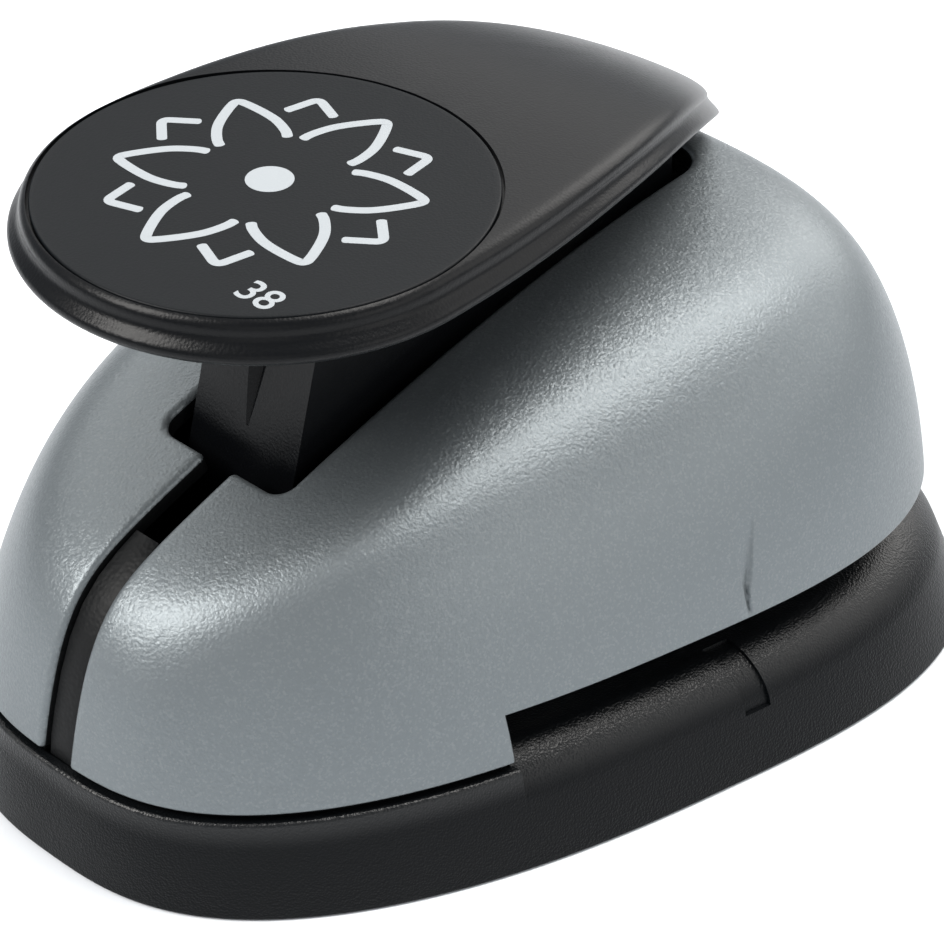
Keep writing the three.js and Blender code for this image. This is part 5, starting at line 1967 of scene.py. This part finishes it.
@dataclass
class Springs:
    """The two return springs round the guide posts, wound by one tree."""

    finishes: Finishes
    radius: float = 3.0
    wire: float = 0.6
    turns: float = 4.0
    centre_z: Pair = (19.2, 25.5)
    travel: float = 4.92
    steps_per_turn: int = 30
    wire_sides: int = 12
    sharp_degrees: float = 60.0

    def coil(self, tree: NodeTree, given: Node) -> Socket:
        """Adds a wire that is wound to the sizes that the tree is given.

        Args:
            tree: The tree.
            given: Its input node.

        Returns:
            The coil's output.
        """
        spiral = add(tree, "GeometryNodeCurveSpiral", inputs={
            "Resolution": self.steps_per_turn, "Rotations": (given, "Turns"),
            "Start Radius": (given, "Radius"), "End Radius": (given, "Radius"),
            "Height": (given, "Height"), "Reverse": True})
        section = add(tree, "GeometryNodeCurvePrimitiveCircle", inputs={
            "Resolution": self.wire_sides, "Radius": (given, "Wire")})
        coil = add(tree, "GeometryNodeCurveToMesh", inputs={
            "Curve": (spiral, "Curve"), "Profile Curve": (section, "Curve"), "Fill Caps": True})
        return coil, "Mesh"

    def build(self) -> None:
        """Makes the two springs round the guide posts."""
        low, high = self.centre_z
        sizes = {"Radius": self.radius * MM, "Height": (high - low) * MM, "Turns": self.turns,
                 "Wire": self.wire / 2 * MM}
        coat = self.finishes.spring
        tree, names = repeating_tree("coil_on_points", dict.fromkeys(sizes, "NodeSocketFloat"), self.coil)
        values = {names[size]: value for size, value in (sizes | {"Finish": coat.material}).items()}
        for side, name in ((-1, "left"), (1, "right")):
            spring = baked(f"return_spring_wound_{name}", [(side * POST_X, MOTIF_Y, low)], tree, values)
            smooth(spring, self.sharp_degrees)
            dress(spring, Body.FIXED, coat, [f"return_spring_{name}"])
            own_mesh(spring)


# Studio


@dataclass(frozen=True)
class SoftBox:
    """A soft box, in metres and watts."""

    name: str
    place: tuple[float, float, float]
    power: float
    size: Pair = (0.5, 0.5)


@dataclass
class Studio:
    """Camera, pale floor and soft boxes.

    Attributes:
        camera_mm: Place of the camera.
        azimuth: Degrees from the low end round to the right.
        elevation: Degrees above the floor.
        tilt: Degrees by which the camera leans.
        focal_pixels: Focal length in pixels of the photograph's frame.
        frame_pixels: Width of that frame.
        clip: Nearest and farthest distance that the camera sees, in metres.
        floor_half: Half the floor's width in metres.
        aim: What the soft boxes point at, in metres.
    """

    camera_mm: tuple[float, float, float] = (208.283, -215.483, 236.818)
    azimuth: float = 43.1302
    elevation: float = 35.9505
    tilt: float = 0.158
    focal_pixels: float = 3376.32
    frame_pixels: float = 944.0
    sensor_mm: float = 36.0
    clip: Pair = (0.02, 20.0)
    floor_half: float = 2.5
    aim: tuple[float, float, float] = (0.0, 0.0, 0.03)
    lamp_colour: str = "#fffcf8"
    sky_colour: str = "#ebf1f8"
    sky_strength: float = 0.48
    boxes: tuple[SoftBox, ...] = (
        SoftBox("front_left_box", (-0.25, -0.58, 0.64), 9.2, (0.35, 0.5)),
        SoftBox("overhead_rear_box", (0.19, 0.22, 0.85), 6.0, (0.38, 0.38)),
        SoftBox("rear_low_box", (0.0, 0.76, 0.48), 3.3),
        SoftBox("rear_right_box", (0.56, 0.56, 0.42), 1.8),
        SoftBox("rear_left_box", (-0.18, 0.49, 0.74), 1.6),
        SoftBox("rear_left_low_box", (-0.39, 0.68, 0.45), 0.8),
        SoftBox("left_fill", (-0.65, 0.17, 0.6), 1.7),
        SoftBox("right_fill", (0.83, 0.07, 0.34), 1.6),
        SoftBox("front_right_fill", (0.54, -0.65, 0.31), 0.6))

    def camera(self) -> None:
        """Places the camera where the photograph was taken from."""
        a, e, roll = (math.radians(v) for v in (self.azimuth, self.elevation, self.tilt))
        back = Vector((math.sin(a) * math.cos(e), -math.cos(a) * math.cos(e), math.sin(e)))
        level = Vector((math.cos(a), math.sin(a), 0))
        upright = back.cross(level)
        right = level * math.cos(roll) + upright * math.sin(roll)
        up = upright * math.cos(roll) - level * math.sin(roll)
        data = bpy.data.cameras.new("camera")
        data.sensor_width = self.sensor_mm
        data.lens = self.focal_pixels / self.frame_pixels * self.sensor_mm
        data.clip_start, data.clip_end = self.clip
        camera = shown("camera", data)
        turn = Matrix((right, up, back)).transposed().to_4x4()
        camera.matrix_world = Matrix.Translation(Vector(self.camera_mm) * MM) @ turn
        bpy.context.scene.camera = camera

    def floor(self) -> None:
        """Lays the pale floor."""
        half = self.floor_half / MM
        # Matt painted board: white under the soft boxes, with a faint shadow at the foot
        board = Finish("pale_floor", "", "#dcdfe3", 0.7, grain_mm=2.0, grain_depth=0.02).build()
        corners = [(-half, -half, 0), (half, -half, 0), (half, half, 0), (-half, half, 0)]
        mesh_object("floor", corners, [[0, 1, 2, 3]], [board.material])

    def light(self, box: SoftBox) -> None:
        """Hangs a soft box that points at the punch.

        Args:
            box: The soft box.
        """
        data = bpy.data.lights.new(box.name, "AREA")
        data.shape = "RECTANGLE"
        data.size, data.size_y = box.size
        data.energy = box.power
        data.color = linear(self.lamp_colour)[:3]
        lamp = shown(box.name, data)
        lamp.location = box.place
        lamp.rotation_euler = (Vector(self.aim) - Vector(box.place)).to_track_quat("-Z", "Y").to_euler()

    def sky(self) -> None:
        """Surrounds the set with a pale sweep."""
        world = bpy.data.worlds.new("sweep")
        world.use_nodes = True
        background = world.node_tree.nodes["Background"]
        background.inputs["Color"].default_value = linear(self.sky_colour)
        background.inputs["Strength"].default_value = self.sky_strength
        bpy.context.scene.world = world
        bpy.context.scene.view_settings.view_transform = "Standard"

    def build(self) -> None:
        """Makes the camera, the floor and the lights."""
        self.camera()
        self.floor()
        for box in self.boxes:
            self.light(box)
        self.sky()


def main() -> None:
    """Builds the punch and its set."""
    logging.basicConfig(level=logging.INFO, format="%(name)s %(message)s")
    finishes = Finishes()
    for group in (BaseTray, SilverShell, PalmLever, PalmDisc, CuttingSet, PivotFrame, Screws, Springs):
        group(finishes).build()
    Studio().build()


if __name__ == "__main__":
    main()
